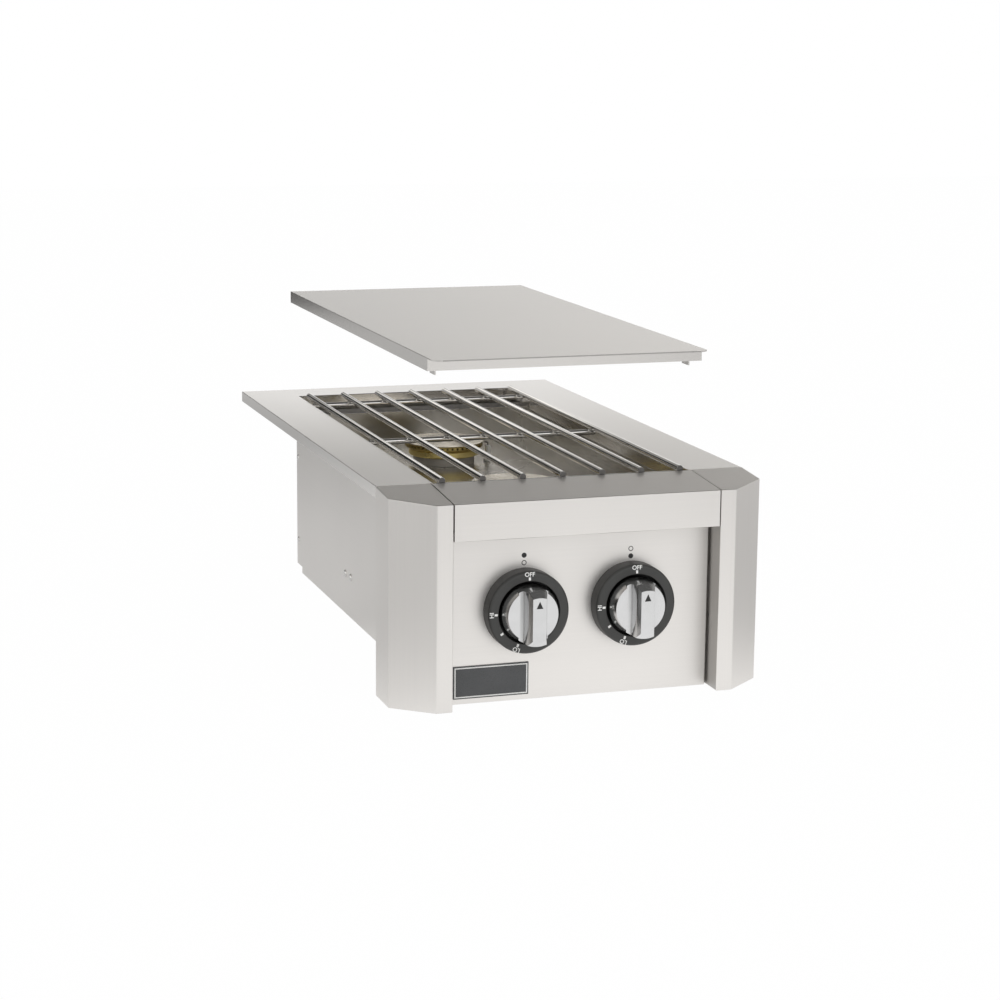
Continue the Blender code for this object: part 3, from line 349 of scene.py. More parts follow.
def satin(name, colour, roughness=0.18):
    """Satin plating: soft shine with a trace of brushing."""
    return grained(name, ((1300.0, 1300.0, 25.0), 1.0, 2.0), 55.0, (scaled(colour, 0.94), colour),
                   (roughness - 0.02, roughness + 0.03), (0.00002, 0.04))


def moulded(name, colour, roughness, relief=0.35):
    """Moulded plastic or enamel with a fine texture."""
    return grained(name, ((1.0, 1.0, 1.0), 2600.0, 3.0), 50.0,
                   (scaled(colour, 0.9), scaled(colour, 1.08)),
                   (roughness - 0.05, roughness + 0.07), (0.00005, relief), 0.0)


def ceramic(name):
    """Glazed ceramic with a few faint specks."""
    glaze = Finish(name, metallic=0.0)
    specks = glaze.noise(glaze.place(), 900.0, 2.0)
    shade = glaze.mix(glaze.fit(specks, 0.62, 0.75), (0.92, 0.91, 0.87), (0.52, 0.47, 0.40))
    glaze.set(base_color=shade, roughness=glaze.fit(specks, 0.3, 0.7, 0.18, 0.30))
    return glaze.material


FINISHES = {}


def make_finishes(colours):
    """Every finish, by the name that the pieces ask for."""
    steel = tuple(colours.steel)
    FINISHES.update({
        "front_steel": brushed("brushed_front_sheet", steel, "x", 0.42),
        "cap_steel": brushed("brushed_cap_sheet", steel, "z", 0.42),
        # Steel darkened to 0.55: painted shade for the end caps' inner walls and the shadow line
        # under the cover's lip
        "painted_shade_steel": brushed("painted_shade_cap_sheet", scaled(steel, 0.55), "z", 0.42),
        "plate_steel": brushed("brushed_top_sheet", scaled(steel, 1.04), "y", 0.14,
                               0.01, 0.02, 0.0),
        "side_steel": brushed("brushed_side_sheet", steel, "y", 0.37, 0.02, 0.03, 0.1),
        "cover_steel": brushed("brushed_cover_sheet", steel, "y", 0.27, 0.01, 0.02, 0.0),
        "mill_steel": cast_metal("mill_underside", (0.96, 0.95, 0.93), 0.5, 0.15),
        "raw_cast": cast_metal("raw_casting", (0.60, 0.57, 0.52), 0.6),
        "well_steel": well_sheet("heat_tinted_well_sheet", tuple(colours.well_steel)),
        "bar_steel": polished("polished_bar", tuple(colours.bar_steel)),
        "cut_end": cast_metal("sawn_bar_end", (0.16, 0.155, 0.15), 0.45),
        "weld": cast_metal("weld_bead", (0.36, 0.35, 0.33), 0.28),
        "cap_brass": cast_brass("burner_cap_brass", (0.90, 0.83, 0.70), 0.12, 0.06),
        "ring_brass": cast_brass("ported_ring_brass", (0.62, 0.49, 0.19), 0.26, 0.30),
        "base_brass": cast_brass("burner_base_brass", tuple(colours.brass), 0.24, 0.06),
        "fitting_brass": cast_brass("turned_fitting_brass", (0.74, 0.57, 0.27), 0.20, 0.10),
        "casting": cast_metal("valve_casting", (0.60, 0.59, 0.57)),
        "zinc": cast_metal("plated_bracket", (0.62, 0.61, 0.58), 0.34),
        "bezel": moulded("bezel_grey", tuple(colours.bezel), 0.36),
        # Darker grey for the bezels' side walls: painted shade
        "bezel_painted_shade": moulded("painted_shade_bezel_grey", (0.022, 0.022, 0.021), 0.5),
        "print_white": moulded("white_print", (0.92, 0.92, 0.90), 0.40, 0.1),
        "print_black": moulded("black_print", (0.012, 0.012, 0.012), 0.40, 0.1),
        "knob": satin("satin_knob", tuple(colours.knob)),
        "badge": moulded("badge_plate_grey", tuple(colours.badge), 0.30, 0.15),
        "bolt": satin("plated_bolt", (0.80, 0.79, 0.77), 0.16),
        "ceramic": ceramic("electrode_ceramic"),
        "spark_wire": cast_metal("spark_wire", (0.14, 0.13, 0.12), 0.38),
        "sleeve": moulded("lead_sleeve", (0.33, 0.045, 0.035), 0.5, 0.4),
    })


# Mesh tools

HOLLOW_TURN = math.radians(12)
FOLD_TURN = math.radians(20)


def new_piece(name, bm, finish, body, replaces=(), smooth=35.0, creased=False):
    """Make a bmesh a piece with one or more finishes that rides on a body. The hollow corners of
    a creased piece are sharp."""
    bmesh.ops.remove_doubles(bm, verts=bm.verts, dist=1e-7)
    bm.edges.index_update()
    creases = [edge.index for edge in bm.edges if creased and edge.is_manifold
               and not edge.is_convex and edge.calc_face_angle() > HOLLOW_TURN]
    mesh = bpy.data.meshes.new(name)
    bm.to_mesh(mesh)
    bm.free()
    mesh.shade_smooth()
    mesh.set_sharp_from_angle(angle=math.radians(smooth))
    for index in creases:
        mesh.edges[index].use_edge_sharp = True
    for slot in [finish] if isinstance(finish, str) else finish:
        mesh.materials.append(FINISHES[slot])
    piece = bpy.data.objects.new(name, mesh)
    bpy.context.scene.collection.objects.link(piece)
    even = piece.modifiers.new("even_shading", "WEIGHTED_NORMAL")
    even.keep_sharp = True
    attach(piece, body)
    if replaces:
        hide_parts(*replaces)
    return piece


def refinish(node, finish):
    """Give a carried-over node its finish."""
    frame["nodes"][node].material_slots[0].material = FINISHES[finish]


def merged(node):
    """Copy of a node's mesh with its loose triangles merged into whole faces."""
    bm = bmesh.new()
    bm.from_mesh(frame["nodes"][node].data)
    bmesh.ops.remove_doubles(bm, verts=bm.verts, dist=1e-6)
    bmesh.ops.dissolve_limit(bm, angle_limit=math.radians(0.3), verts=bm.verts, edges=bm.edges)
    bm.normal_update()
    return bm


def round_edges(bm, edges, radius, segments):
    """Bevel some edges."""
    if edges:
        bmesh.ops.bevel(bm, geom=edges, offset=radius, offset_type="OFFSET", segments=segments,
                        profile=0.5, affect="EDGES", material=-1, clamp_overlap=True)


def body_of(node):
    """The body that a node belongs to."""
    bodies = frame["record"]["behaviour"]["bodies"]
    return next(name for name, nodes in bodies.items() if node in nodes)


def dress_sheet(node, finish, sizes, inside=None):
    """Sheet piece with rounded folds. A second finish goes on the wide faces that look one way,
    and a third on the cut front edge. The darker steel given as the end caps' second finish
    and the cover's third is painted shade."""
    bm = merged(node)
    towards, frontal = 0.9, 0.99

    def wide(face):
        return face.calc_area() / max(edge.calc_length() for edge in face.edges) > sizes.wide

    folds = [edge for edge in bm.edges
             if len(edge.link_faces) == 2 and edge.calc_face_angle(0) > FOLD_TURN
             and all(wide(face) for face in edge.link_faces) and edge.is_convex]
    round_edges(bm, folds, sizes.fold, 3)
    if inside:
        for face in bm.faces:
            face.material_index = int(face.normal.dot(Vector(inside)) > towards and wide(face))
            # A darker third finish here paints the shadow line under the cover's lip
            if len(finish) > 2 and face.normal.y < -frontal and not wide(face):
                face.material_index = 2
    return new_piece(node + "_sheet", bm, finish, body_of(node), (node,), creased=True)


def spun(profile, axis, centre, steps):
    """Closed shape turned about an axis from (radius, height) points that start and end on it,
    or that close on themselves."""
    bm = bmesh.new()
    up = Vector(axis).normalized()
    side = up.orthogonal().normalized()
    centre = Vector(centre)
    verts = [bm.verts.new(centre + side * radius + up * height) for radius, height in profile]
    edges = [bm.edges.new(pair) for pair in zip(verts, verts[1:])]
    if profile[0][0] > 0:
        edges.append(bm.edges.new((verts[-1], verts[0])))
    bmesh.ops.spin(bm, geom=verts + edges, cent=centre, axis=up, angle=math.tau, steps=steps,
                   use_merge=True, use_duplicate=False)
    bmesh.ops.remove_doubles(bm, verts=bm.verts, dist=1e-6)
    bmesh.ops.recalc_face_normals(bm, faces=bm.faces)
    return bm


def bar(bm, start, end, radius, steps, end_bevel=0.0, cut_slot=0):
    """Round bar between two points, with its ends eased."""
    start = Vector(start)
    end = Vector(end)
    run = end - start
    turn = run.to_track_quat("Z", "Y").to_matrix().to_4x4()
    place = Matrix.Translation((start + end) / 2) @ turn
    made = bmesh.ops.create_cone(bm, cap_ends=True, segments=steps, radius1=radius,
                                 radius2=radius, depth=run.length, matrix=place)
    ends = {face for vert in made["verts"] for face in vert.link_faces if len(face.verts) == steps}
    for face in ends:
        face.material_index = cut_slot
    if end_bevel:
        round_edges(bm, list({edge for face in ends for edge in face.edges}), end_bevel, 2)


def block(bm, low, high):
    """Block between two corners."""
    low = Vector(low)
    high = Vector(high)
    shape = Matrix.Translation((low + high) / 2) @ Matrix.Diagonal((*(high - low), 1.0))
    return bmesh.ops.create_cube(bm, size=1.0, matrix=shape)["verts"]


def absorb(bm, part):
    """Move one shape into another."""
    mesh = bpy.data.meshes.new("part")
    part.to_mesh(mesh)
    part.free()
    bm.from_mesh(mesh)
    bpy.data.meshes.remove(mesh)


def thicken(bm, faces, shift):
    """Turn flat faces into a solid by moving a copy of them."""
    made = bmesh.ops.extrude_face_region(bm, geom=faces)["geom"]
    verts = [item for item in made if isinstance(item, bmesh.types.BMVert)]
    bmesh.ops.translate(bm, verts=verts, vec=shift)
    bmesh.ops.recalc_face_normals(bm, faces=bm.faces)


def solid(name, bm):
    """Short-lived object for a cut."""
    mesh = bpy.data.meshes.new(name)
    bm.to_mesh(mesh)
    bm.free()
    item = bpy.data.objects.new(name, mesh)
    bpy.context.scene.collection.objects.link(item)
    return item


def carve(bm, changes, bevel=0.0):
    """Cut or weld shapes in turn, ease the edges and return the result as a bmesh."""
    item = solid("carved", bm)
    helpers = [(operation, solid("helper", shape)) for operation, shape in changes]
    for operation, helper in helpers:
        change = item.modifiers.new("change", "BOOLEAN")
        change.operation = operation
        change.object = helper
    if bevel:
        edge = item.modifiers.new("edge", "BEVEL")
        edge.width = bevel
        edge.segments = 3
        edge.limit_method = "ANGLE"
        edge.angle_limit = math.radians(25.0)
    bpy.context.view_layer.update()
    shaped = item.evaluated_get(bpy.context.evaluated_depsgraph_get())
    result = bmesh.new()
    result.from_mesh(shaped.to_mesh())
    shaped.to_mesh_clear()
    for helper in [item] + [helper for operation, helper in helpers]:
        bpy.data.objects.remove(helper, do_unlink=True)
    return result


def swept(points, radius):
    """Round wire through some points."""
    bm = bmesh.new()
    loops = []
    last = len(points) - 1
    for index, point in enumerate(points):
        run = Vector(points[min(index + 1, last)]) - Vector(points[max(index - 1, 0)])
        place = Matrix.Translation(point) @ run.to_track_quat("Z", "Y").to_matrix().to_4x4()
        ring = bmesh.ops.create_circle(bm, cap_ends=index in (0, last), segments=12,
                                       radius=radius, matrix=place)["verts"]
        loops.append([edge for edge in bm.edges if all(vert in ring for vert in edge.verts)])
    for pair in zip(loops, loops[1:]):
        bmesh.ops.bridge_loops(bm, edges=pair[0] + pair[1])
    bmesh.ops.recalc_face_normals(bm, faces=bm.faces)
    return bm


def arc(centre, radius, start, end, steps):
    """Points along a flat arc, in degrees."""
    turns = [math.radians(start + (end - start) * step / steps) for step in range(steps + 1)]
    return [(centre[0] + radius * math.cos(turn), centre[1] + radius * math.sin(turn))
            for turn in turns]


# Operators

class BURNER_OT_stage(bpy.types.Operator):
    """Floor, background, lamps and camera"""

    bl_idname = "side_burner.stage"
    bl_label = "Stage"

    def execute(self, context):
        sizes = context.scene.side_burner_stage
        make_floor()
        make_cards()
        make_world(context.scene, sizes.daylight)
        make_lamps(sizes.lamp)
        make_camera(context.scene, sizes)
        context.scene.view_settings.view_transform = "Standard"
        return {"FINISHED"}


def ray_kinds(maker):
    """Whether a ray comes from the camera, from a glossy surface or through a clear one."""
    path = maker.tree.nodes.new("ShaderNodeLightPath")
    return [Number(maker, path.outputs[name])
            for name in ("Is Camera Ray", "Is Glossy Ray", "Is Transmission Ray")]


def make_floor():
    """Pale floor: white to the camera with a faint shadow, and shaded off in reflections."""
    floor = stage_plane("floor", (-6.0, -6.0, 0.0), (6.0, 6.0, 0.0))
    paint = Finish("pale_floor", base_color=(0.80, 0.80, 0.79), roughness=0.9,
                   specular_ior_level=0.1)
    camera, glossy, through = ray_kinds(paint)
    back = paint.axis("Y")
    across = paint.axis("X") + back * 0.3 + 0.07
    ahead = paint.fit(back, -0.5, 1.5, 0.0, 1.8)
    away = (across * across + ahead * ahead) ** 0.5
    pool = paint.fit(away, 0.17, 0.50, 1.02, 0.54)
    # Changes of brightness from one depth to another
    for start, end, change in ((-0.2, 0.2, 0.10), (0.5, 1.1, -0.22), (1.2, 2.0, 0.14),
                               (-1.7, -2.1, -0.32)):
        pool = pool + paint.fit(back, start, end, 0.0, change)
    glow = paint.node("ShaderNodeEmission", inputs={
        "Color": (1.0, 1.0, 1.0), "Strength": camera + (1.0 - camera) * pool})
    both = paint.node("ShaderNodeMixShader", inputs={
        0: camera * 0.985 + glossy + through * 0.9,
        1: Number(paint, paint.shader.outputs[0]), 2: glow})
    paint.tree.links.new(both.socket, paint.tree.nodes["Material Output"].inputs["Surface"])
    floor.data.materials.append(paint.material)


def stage_plane(name, low, high):
    """Flat sheet of the stage between two corners, level or upright."""
    bm = bmesh.new()
    bmesh.ops.create_grid(bm, x_segments=1, y_segments=1, size=1.0)
    low = Vector(low)
    high = Vector(high)
    half = (high - low) / 2
    spread = Matrix.Diagonal((half.x, half.y + half.z, 1.0, 1.0))
    if half.z:
        spread = Matrix.Rotation(math.radians(90), 4, "X") @ spread
    bmesh.ops.transform(bm, matrix=Matrix.Translation((low + high) / 2) @ spread, verts=bm.verts)
    mesh = bpy.data.meshes.new(name)
    bm.to_mesh(mesh)
    bm.free()
    sheet = bpy.data.objects.new(name, mesh)
    bpy.context.scene.collection.objects.link(sheet)
    return sheet


def make_card(name, low, high):
    """Card that only shows in reflections. Returns the finish that takes its brightness."""
    card = stage_plane(name, low, high)
    card.visible_camera = False
    card.visible_diffuse = False
    card.visible_transmission = False
    card.visible_shadow = False
    felt = Finish(name + "_felt")
    card.data.materials.append(felt.material)
    return felt


def light_card(felt, level):
    """Make a card glow at a level."""
    glow = felt.node("ShaderNodeEmission", inputs={"Color": (1.0, 0.985, 0.96), "Strength": level})
    felt.tree.links.new(glow.socket, felt.tree.nodes["Material Output"].inputs["Surface"])


def make_cards():
    """A wide card overhead, with bands of brightness across it, and a dark one upright behind
    the left."""
    felt = make_card("overhead_card", (-5.0, -1.6, 1.3), (5.0, 7.1, 1.3))
    back, side = felt.axis("Y"), felt.axis("X")
    level = felt.fit(side, 0.75, 1.15, 0.0, 0.28) + felt.fit(side, 1.4, 2.5, 0.0, 0.14)
    # Changes from one depth to another: the two depths and the level at each
    for start, end, first, last in ((0.3, 2.6, 0.10, 0.27), (2.6, 3.0, 0.0, 0.9),
                                    (3.7, 4.0, 0.0, -0.9), (2.6, 5.2, 0.0, -0.30),
                                    (5.2, 6.3, 0.0, 0.24), (6.1, 7.1, 0.0, 0.60)):
        level = level + felt.fit(back, start, end, first, last)
    # Brighter along the far edge but not at its right, and at the left front
    level = level + felt.fit(side, 2.0, 1.4, 0.0, 1.0) * felt.fit(back, 6.4, 7.0, 0.0, 0.5)
    level = level + felt.fit(side, -0.5, -1.3, 0.0, 0.5) * felt.fit(back, 2.4, 1.6, 0.0, 1.0)
    light_card(felt, level)
    felt = make_card("dark_card", (-1.4, 1.0, 0.205), (-0.12, 1.0, 0.85))
    light_card(felt, felt.fit(felt.axis("X"), -0.25, -0.12, 0.03, 0.75))


class WorldFinish(Finish):
    """The world's nodes, made with the same tools."""

    def __init__(self, world):
        world.use_nodes = True
        self.tree = world.node_tree
        self.shader = self.tree.nodes["Background"]


def make_world(scene, level):
    """Even light all round, white behind the object and in its reflections."""
    world = bpy.data.worlds.new("studio")
    scene.world = world
    sky = WorldFinish(world)
    camera, glossy, through = ray_kinds(sky)
    soft = sky.node("ShaderNodeBackground", inputs={"Color": (1.0, 1.0, 1.0), "Strength": level})
    white = sky.node("ShaderNodeBackground", inputs={
        "Color": (1.0, 1.0, 1.0), "Strength": camera + (1.0 - camera) * 0.97})
    both = sky.node("ShaderNodeMixShader", inputs={0: camera + glossy + through, 1: soft, 2: white})
    sky.tree.links.new(both.socket, sky.tree.nodes["World Output"].inputs["Surface"])


def make_lamps(power):
    """Large soft lamps: the key one above the front, and a weaker one at the left."""
    for name, place, size, share in (("key_lamp", (0.6, -1.8, 1.9), 1.6, 1.0),
                                     ("fill_lamp", (-2.0, -0.6, 1.2), 1.4, 0.35)):
        lamp = bpy.data.lights.new(name, "AREA")
        lamp.shape = "SQUARE"
        lamp.size = size
        lamp.energy = power * share
        item = bpy.data.objects.new(name, lamp)
        item.location = place
        away = Vector(place) - Vector((0, 0, 0.15))
        item.rotation_euler = away.to_track_quat("Z", "Y").to_euler()
        bpy.context.scene.collection.objects.link(item)


def make_camera(scene, sizes):
    """Camera at the photograph's viewing angle."""
    eye = bpy.data.cameras.new("camera")
    eye.lens = sizes.lens * 1000
    eye.sensor_width = 36.0
    item = bpy.data.objects.new("camera", eye)
    scene.collection.objects.link(item)
    item.matrix_world = (Matrix.Translation(sizes.camera_place)
                         @ Matrix.Rotation(sizes.yaw, 4, "Z")
                         @ Matrix.Rotation(math.radians(90) + sizes.pitch, 4, "X")
                         @ Matrix.Rotation(sizes.roll, 4, "Z"))
    scene.camera = item


class BURNER_OT_shell(bpy.types.Operator):
    """Frame, end caps, fascia, panel and burner box, in brushed sheet with rounded folds"""

    bl_idname = "side_burner.shell"
    bl_label = "Sheet Shell"

    def execute(self, context):
        sizes = context.scene.side_burner_sheet
        sheets = {"top_frame": "plate_steel", "fascia_bar": "front_steel",
                  "control_panel": "front_steel", "left_side_panel": "side_steel",
                  "right_side_panel": "side_steel", "rear_panel": "side_steel",
                  "bottom_pan": "side_steel", "burner_tray": "well_steel"}
        for node, finish in sheets.items():
            dress_sheet(node, finish, sizes)
        for side_name, side in SIDES.items():
            # The caps' inner walls take the darker steel: painted shade
            dress_sheet(side_name + "_end_cap", ("cap_steel", "painted_shade_steel"), sizes, (-side, 0, 0))
        return {"FINISHED"}


class BURNER_OT_grate(bpy.types.Operator):
    """Grate: polished bars, cross rods, weld beads and the rests that carry them"""

    bl_idname = "side_burner.grate"
    bl_label = "Grate"

    def execute(self, context):
        sizes = context.scene.side_burner_grate
        low, high = (Vector(corner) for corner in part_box("grate"))
        bar_z = high.z - sizes.bar_radius
        rod_z = low.z + sizes.rod_radius
        side_gap, end_round, weld_out, weld_up = 0.0035, 0.0003, 0.0026, 0.0022
        outer = min((high.x - low.x) / 2, WELL_SIDE) - side_gap
        pitch = 2 * outer / (sizes.bars - 1)
        columns = [-outer + index * pitch for index in range(sizes.bars)]
        rods = rod_places(sizes.front_inset)
        bars = bmesh.new()
        for x in columns:
            bar(bars, (x, low.y, bar_z), (x, high.y, bar_z), sizes.bar_radius, 32, end_round, 1)
        for y in rods:
            bar(bars, (low.x, y, rod_z), (high.x, y, rod_z), sizes.rod_radius, 28, end_round, 1)
        new_piece("grate_bars", bars, ("bar_steel", "cut_end"), "grate", ("grate",))
        welds = bmesh.new()
        for x in columns:
            for y in rods:
                for side in (-1, 1):
                    weld_bead(welds, (x, y + side * weld_out, rod_z + weld_up), sizes.weld)
        new_piece("grate_welds", welds, "weld", "grate", smooth=60.0)
        for end in ("front", "rear"):
            for side in SIDES:
                dress_sheet("grate_rest_%s_%s" % (end, side), "well_steel",
                            context.scene.side_burner_sheet)
        return {"FINISHED"}


def rod_places(front_inset):
    """Depths of the cross rods: behind the fascia, midway and over the rear rests."""
    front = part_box("fascia_bar")[1][1] + PLAY + front_inset
    rear = middle("grate_rest_rear_left").y
    return (front, (front + rear) / 2, rear)


def weld_bead(bm, centre, size):
    """Small uneven lump of weld in the corner between a bar and a rod."""
    centre = Vector(centre)
    spread, unevenness, grain = Matrix.Diagonal((1.35, 0.8, 0.75)), 0.16, 900
    made = bmesh.ops.create_icosphere(bm, subdivisions=2, radius=size,
                                      matrix=Matrix.Translation(centre))
    for vert in made["verts"]:
        ripple = 1.0 + unevenness * noise.noise(vert.co * grain)
        vert.co = centre + (spread @ (vert.co - centre)) * ripple


class BURNER_OT_burners(bpy.types.Operator):
    """Brass caps, ported rings, bases and electrodes of both burners"""

    bl_idname = "side_burner.burners"
    bl_label = "Burners"

    def execute(self, context):
        for title in BURNERS:
            make_burner_cap(title)
            make_port_ring(title)
            make_burner_base(title)
            make_electrode(title)
        return {"FINISHED"}


def round_node(node):
    """Top centre, radius and foot height (below zero) of an upright round node."""
    low, high = (Vector(corner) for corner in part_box(node))
    centre = Vector(((low.x + high.x) / 2, (low.y + high.y) / 2, high.z))
    return centre, (high.x - low.x) / 2, low.z - high.z


def make_burner_cap(title):
    """Turned cap with a slight dome, an eased rim and a spigot under it."""
    node = title + "_burner_cap"
    centre, radius, foot = round_node(node)
    rim, lip, spigot = -0.00045, foot + 0.002, radius - 0.0106
    profile = [(radius * part, rim * part * part) for part in (0, 0.3, 0.55, 0.75, 0.9)]
    profile += [(radius - 0.0005, rim), (radius - 0.00015, rim - 0.00015), (radius, rim - 0.0005),
                (radius, lip + 0.0003), (radius - 0.0003, lip), (spigot, lip), (spigot, foot),
                (0, foot)]
    bm = spun(profile, (0, 0, 1), centre, 128)
    new_piece(title + "_cap_turned", bm, "cap_brass", body_of(node), (node,))


def make_port_ring(title):
    """Ring that tapers to its foot, with a row of drilled ports."""
    node = title + "_port_ring"
    centre, radius, foot = round_node(node)
    bore, taper = radius - 0.009, foot + 0.0025
    profile = [(radius - 0.0002, 0), (radius, -0.0002), (radius, taper),
               (radius - 0.0003, taper - 0.0004), (radius - 0.0035, foot), (bore, foot), (bore, 0)]
    ring = spun(profile, (0, 0, 1), centre, 144)
    ports = bmesh.new()
    count, drop, port = 48, 0.0022, 0.0012
    level = centre + Vector((0, 0, -drop))
    for index in range(count):
        turn = math.tau * (index + 0.5) / count
        out = Vector((math.cos(turn), math.sin(turn), 0))
        bar(ports, level + out * (bore - 0.001), level + out * (radius + 0.002), port, 12)
    bm = carve(ring, [("DIFFERENCE", ports)])
    new_piece(title + "_ring_drilled", bm, "ring_brass", body_of(node), (node,))


def tray_seat():
    """Height at which pieces stand on the tray's floor."""
    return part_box("burner_tray")[0][2] + SHEET + PLAY


def make_burner_base(title):
    """Turned base: a round rim, a pedestal on the tray and a throat that goes through it."""
    node = title + "_burner_base"
    centre, radius, foot = round_node(node)
    rim, curve, seat = -0.0068, 0.0022, tray_seat() - centre.z
    pedestal, throat, end, bore = 0.033, 0.026, 0.0155, 0.009
    profile = [(radius - 0.0003, 0), (radius, -0.0003)]
    profile += arc((radius - curve, rim + curve), curve, 0, -90, 6)
    profile += [(pedestal, rim), (pedestal, seat), (throat, seat), (end, seat - 0.0048),
                (end, foot), (bore, foot), (bore, seat), (pedestal, 0)]
    bm = spun(profile, (0, 0, 1), centre, 96)
    for face in bm.faces:
        face.material_index = int(face.calc_center_median().z < centre.z + rim - 0.0002)
    new_piece(title + "_base_turned", bm, ("base_brass", "raw_cast"), body_of(node), (node,))


def make_electrode(title):
    """Glazed ceramic with a collar on the tray, and a wire bent towards the burner."""
    node = title + "_electrode"
    centre, _, foot = round_node(node)
    seat, top, stem, collar = tray_seat() - centre.z, -0.0055, 0.003, 0.0048
    profile = [(0, top), (0.0019, top), (0.0026, top - 0.0003), (stem, top - 0.0012),
               (stem, seat + 0.0025), (0.0045, seat + 0.0025), (collar, seat + 0.0022),
               (collar, seat), (stem, seat), (stem, foot), (0, foot)]
    bm = spun(profile, (0, 0, 1), centre, 40)
    new_piece(title + "_electrode_ceramic", bm, "ceramic", body_of(node), (node,))
    rise, turn, wire = top + 0.0014, 0.0018, 0.0007
    bend = [(0, 0, top - 0.0004), (0, 0, rise)]
    bend += [(x - turn, 0, rise + z) for x, z in arc((0, 0), turn, 15, 75, 4)]
    bend += [(-0.0042, 0, -0.0018)]
    bm = swept([centre + Vector(point) for point in bend], wire)
    new_piece(title + "_spark_wire", bm, "spark_wire", body_of(node))


class BURNER_OT_dials(bpy.types.Operator):
    """Bezels, dial marks, knobs and pointers"""

    bl_idname = "side_burner.dials"
    bl_label = "Dials"

    def execute(self, context):
        sizes = context.scene.side_burner_dial
        for title in BURNERS:
            make_bezel(title)
            make_marks(title, sizes)
            make_knob(title, sizes)
            refinish(title + "_stem", "casting")
            refinish(title + "_plunger", "fitting_brass")
        return {"FINISHED"}


def make_bezel(title):
    """Dish round a knob: rounded outer edge, eased bore and a floor with a hole for the stem."""
    node = title + "_bezel"
    low, high = (Vector(corner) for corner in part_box(node))
    centre = Vector(((low.x + high.x) / 2, low.y, (low.z + high.z) / 2))
    radius = (high.x - low.x) / 2
    foot = low.y - high.y
    edge, bore, hole, floor = 0.003, 0.0293, 0.0165, foot + 0.002
    profile = arc((radius - edge, -edge), edge, 90, 0, 8)
    profile += [(radius, foot), (hole, foot), (hole, floor), (bore, floor), (bore, -0.0008),
                (bore + 0.0002, -0.0003), (bore + 0.0006, 0)]
    bm = spun(profile, (0, -1, 0), centre, 144)
    # The side wall behind the rounded edge takes the darker grey: painted shade
    for face in bm.faces:
        face.material_index = int(face.calc_center_median().y > centre.y + edge * 0.6)
    new_piece(title + "_bezel_dish", bm, ("bezel", "bezel_painted_shade"), body_of(node), (node,))


def make_marks(title, sizes):
    """Ticks and words printed on a bezel, and the burner mark above it."""
    low, high = (Vector(corner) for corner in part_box(title + "_bezel"))
    centre = Vector(((low.x + high.x) / 2, low.y, (low.z + high.z) / 2))
    ticks = bmesh.new()
    half, long = sizes.tick_width / 2, sizes.tick_length / 2

    def spin(turn):
        return Matrix.Translation(centre) @ Matrix.Rotation(math.radians(-turn), 4, "Y")

    for turn in (0.0, 90.0, 125.0, 160.0):
        flat = block(ticks, (-half, -sizes.print_depth, sizes.tick_radius - long),
                     (half, 0.0, sizes.tick_radius + long))
        bmesh.ops.transform(ticks, matrix=spin(turn), verts=flat)
    new_piece(title + "_dial_ticks", ticks, "print_white", "body")
    out = Matrix.Translation((0, 0, sizes.word_radius))
    for word, turn in (("OFF", 0.0), ("HI", 90.0), ("LO", 160.0)):
        bm = printed_word(word, sizes.word_size, sizes.print_depth)
        bmesh.ops.transform(bm, matrix=spin(turn) @ out, verts=bm.verts)
        new_piece("%s_word_%s" % (title, word.lower()), bm, "print_white", "body")
    make_burner_mark(title, centre, high.z, sizes)


def printed_word(word, size, depth):
    """Thin printed word, centred over its own foot and facing the front."""
    text = bpy.data.curves.new(word, "FONT")
    text.body = word
    text.size = size
    text.align_x = "CENTER"
    text.extrude = depth / 2
    text.offset = size * 0.017
    item = bpy.data.objects.new(word, text)
    bpy.context.scene.collection.objects.link(item)
    bpy.context.view_layer.update()
    shaped = item.evaluated_get(bpy.context.evaluated_depsgraph_get())
    bm = bmesh.new()
    bm.from_mesh(shaped.to_mesh())
    shaped.to_mesh_clear()
    bpy.data.objects.remove(item, do_unlink=True)
    bmesh.ops.remove_doubles(bm, verts=bm.verts, dist=1e-7)
    stand = Matrix.Translation((0, -depth / 2, 0)) @ Matrix.Rotation(math.radians(90), 4, "X")
    bmesh.ops.transform(bm, matrix=stand, verts=bm.verts)
    return bm


def make_burner_mark(title, centre, top, sizes):
    """Two small spots one above the other, the one for this knob's burner filled."""
    spots = bmesh.new()
    outer, inner, depth = 0.0024, 0.0017, sizes.print_depth
    for place, level in (("rear", 0.0115), ("front", 0.0045)):
        if place == title:
            profile = [(0, depth), (outer, depth), (outer, 0), (0, 0)]
        else:
            profile = [(inner, 0), (inner, depth), (outer, depth), (outer, 0)]
        spot = Vector((centre.x, PANEL_FACE, top + level))
        absorb(spots, spun(profile, (0, -1, 0), spot, 40))
    new_piece(title + "_burner_mark", spots, "print_black", "body")


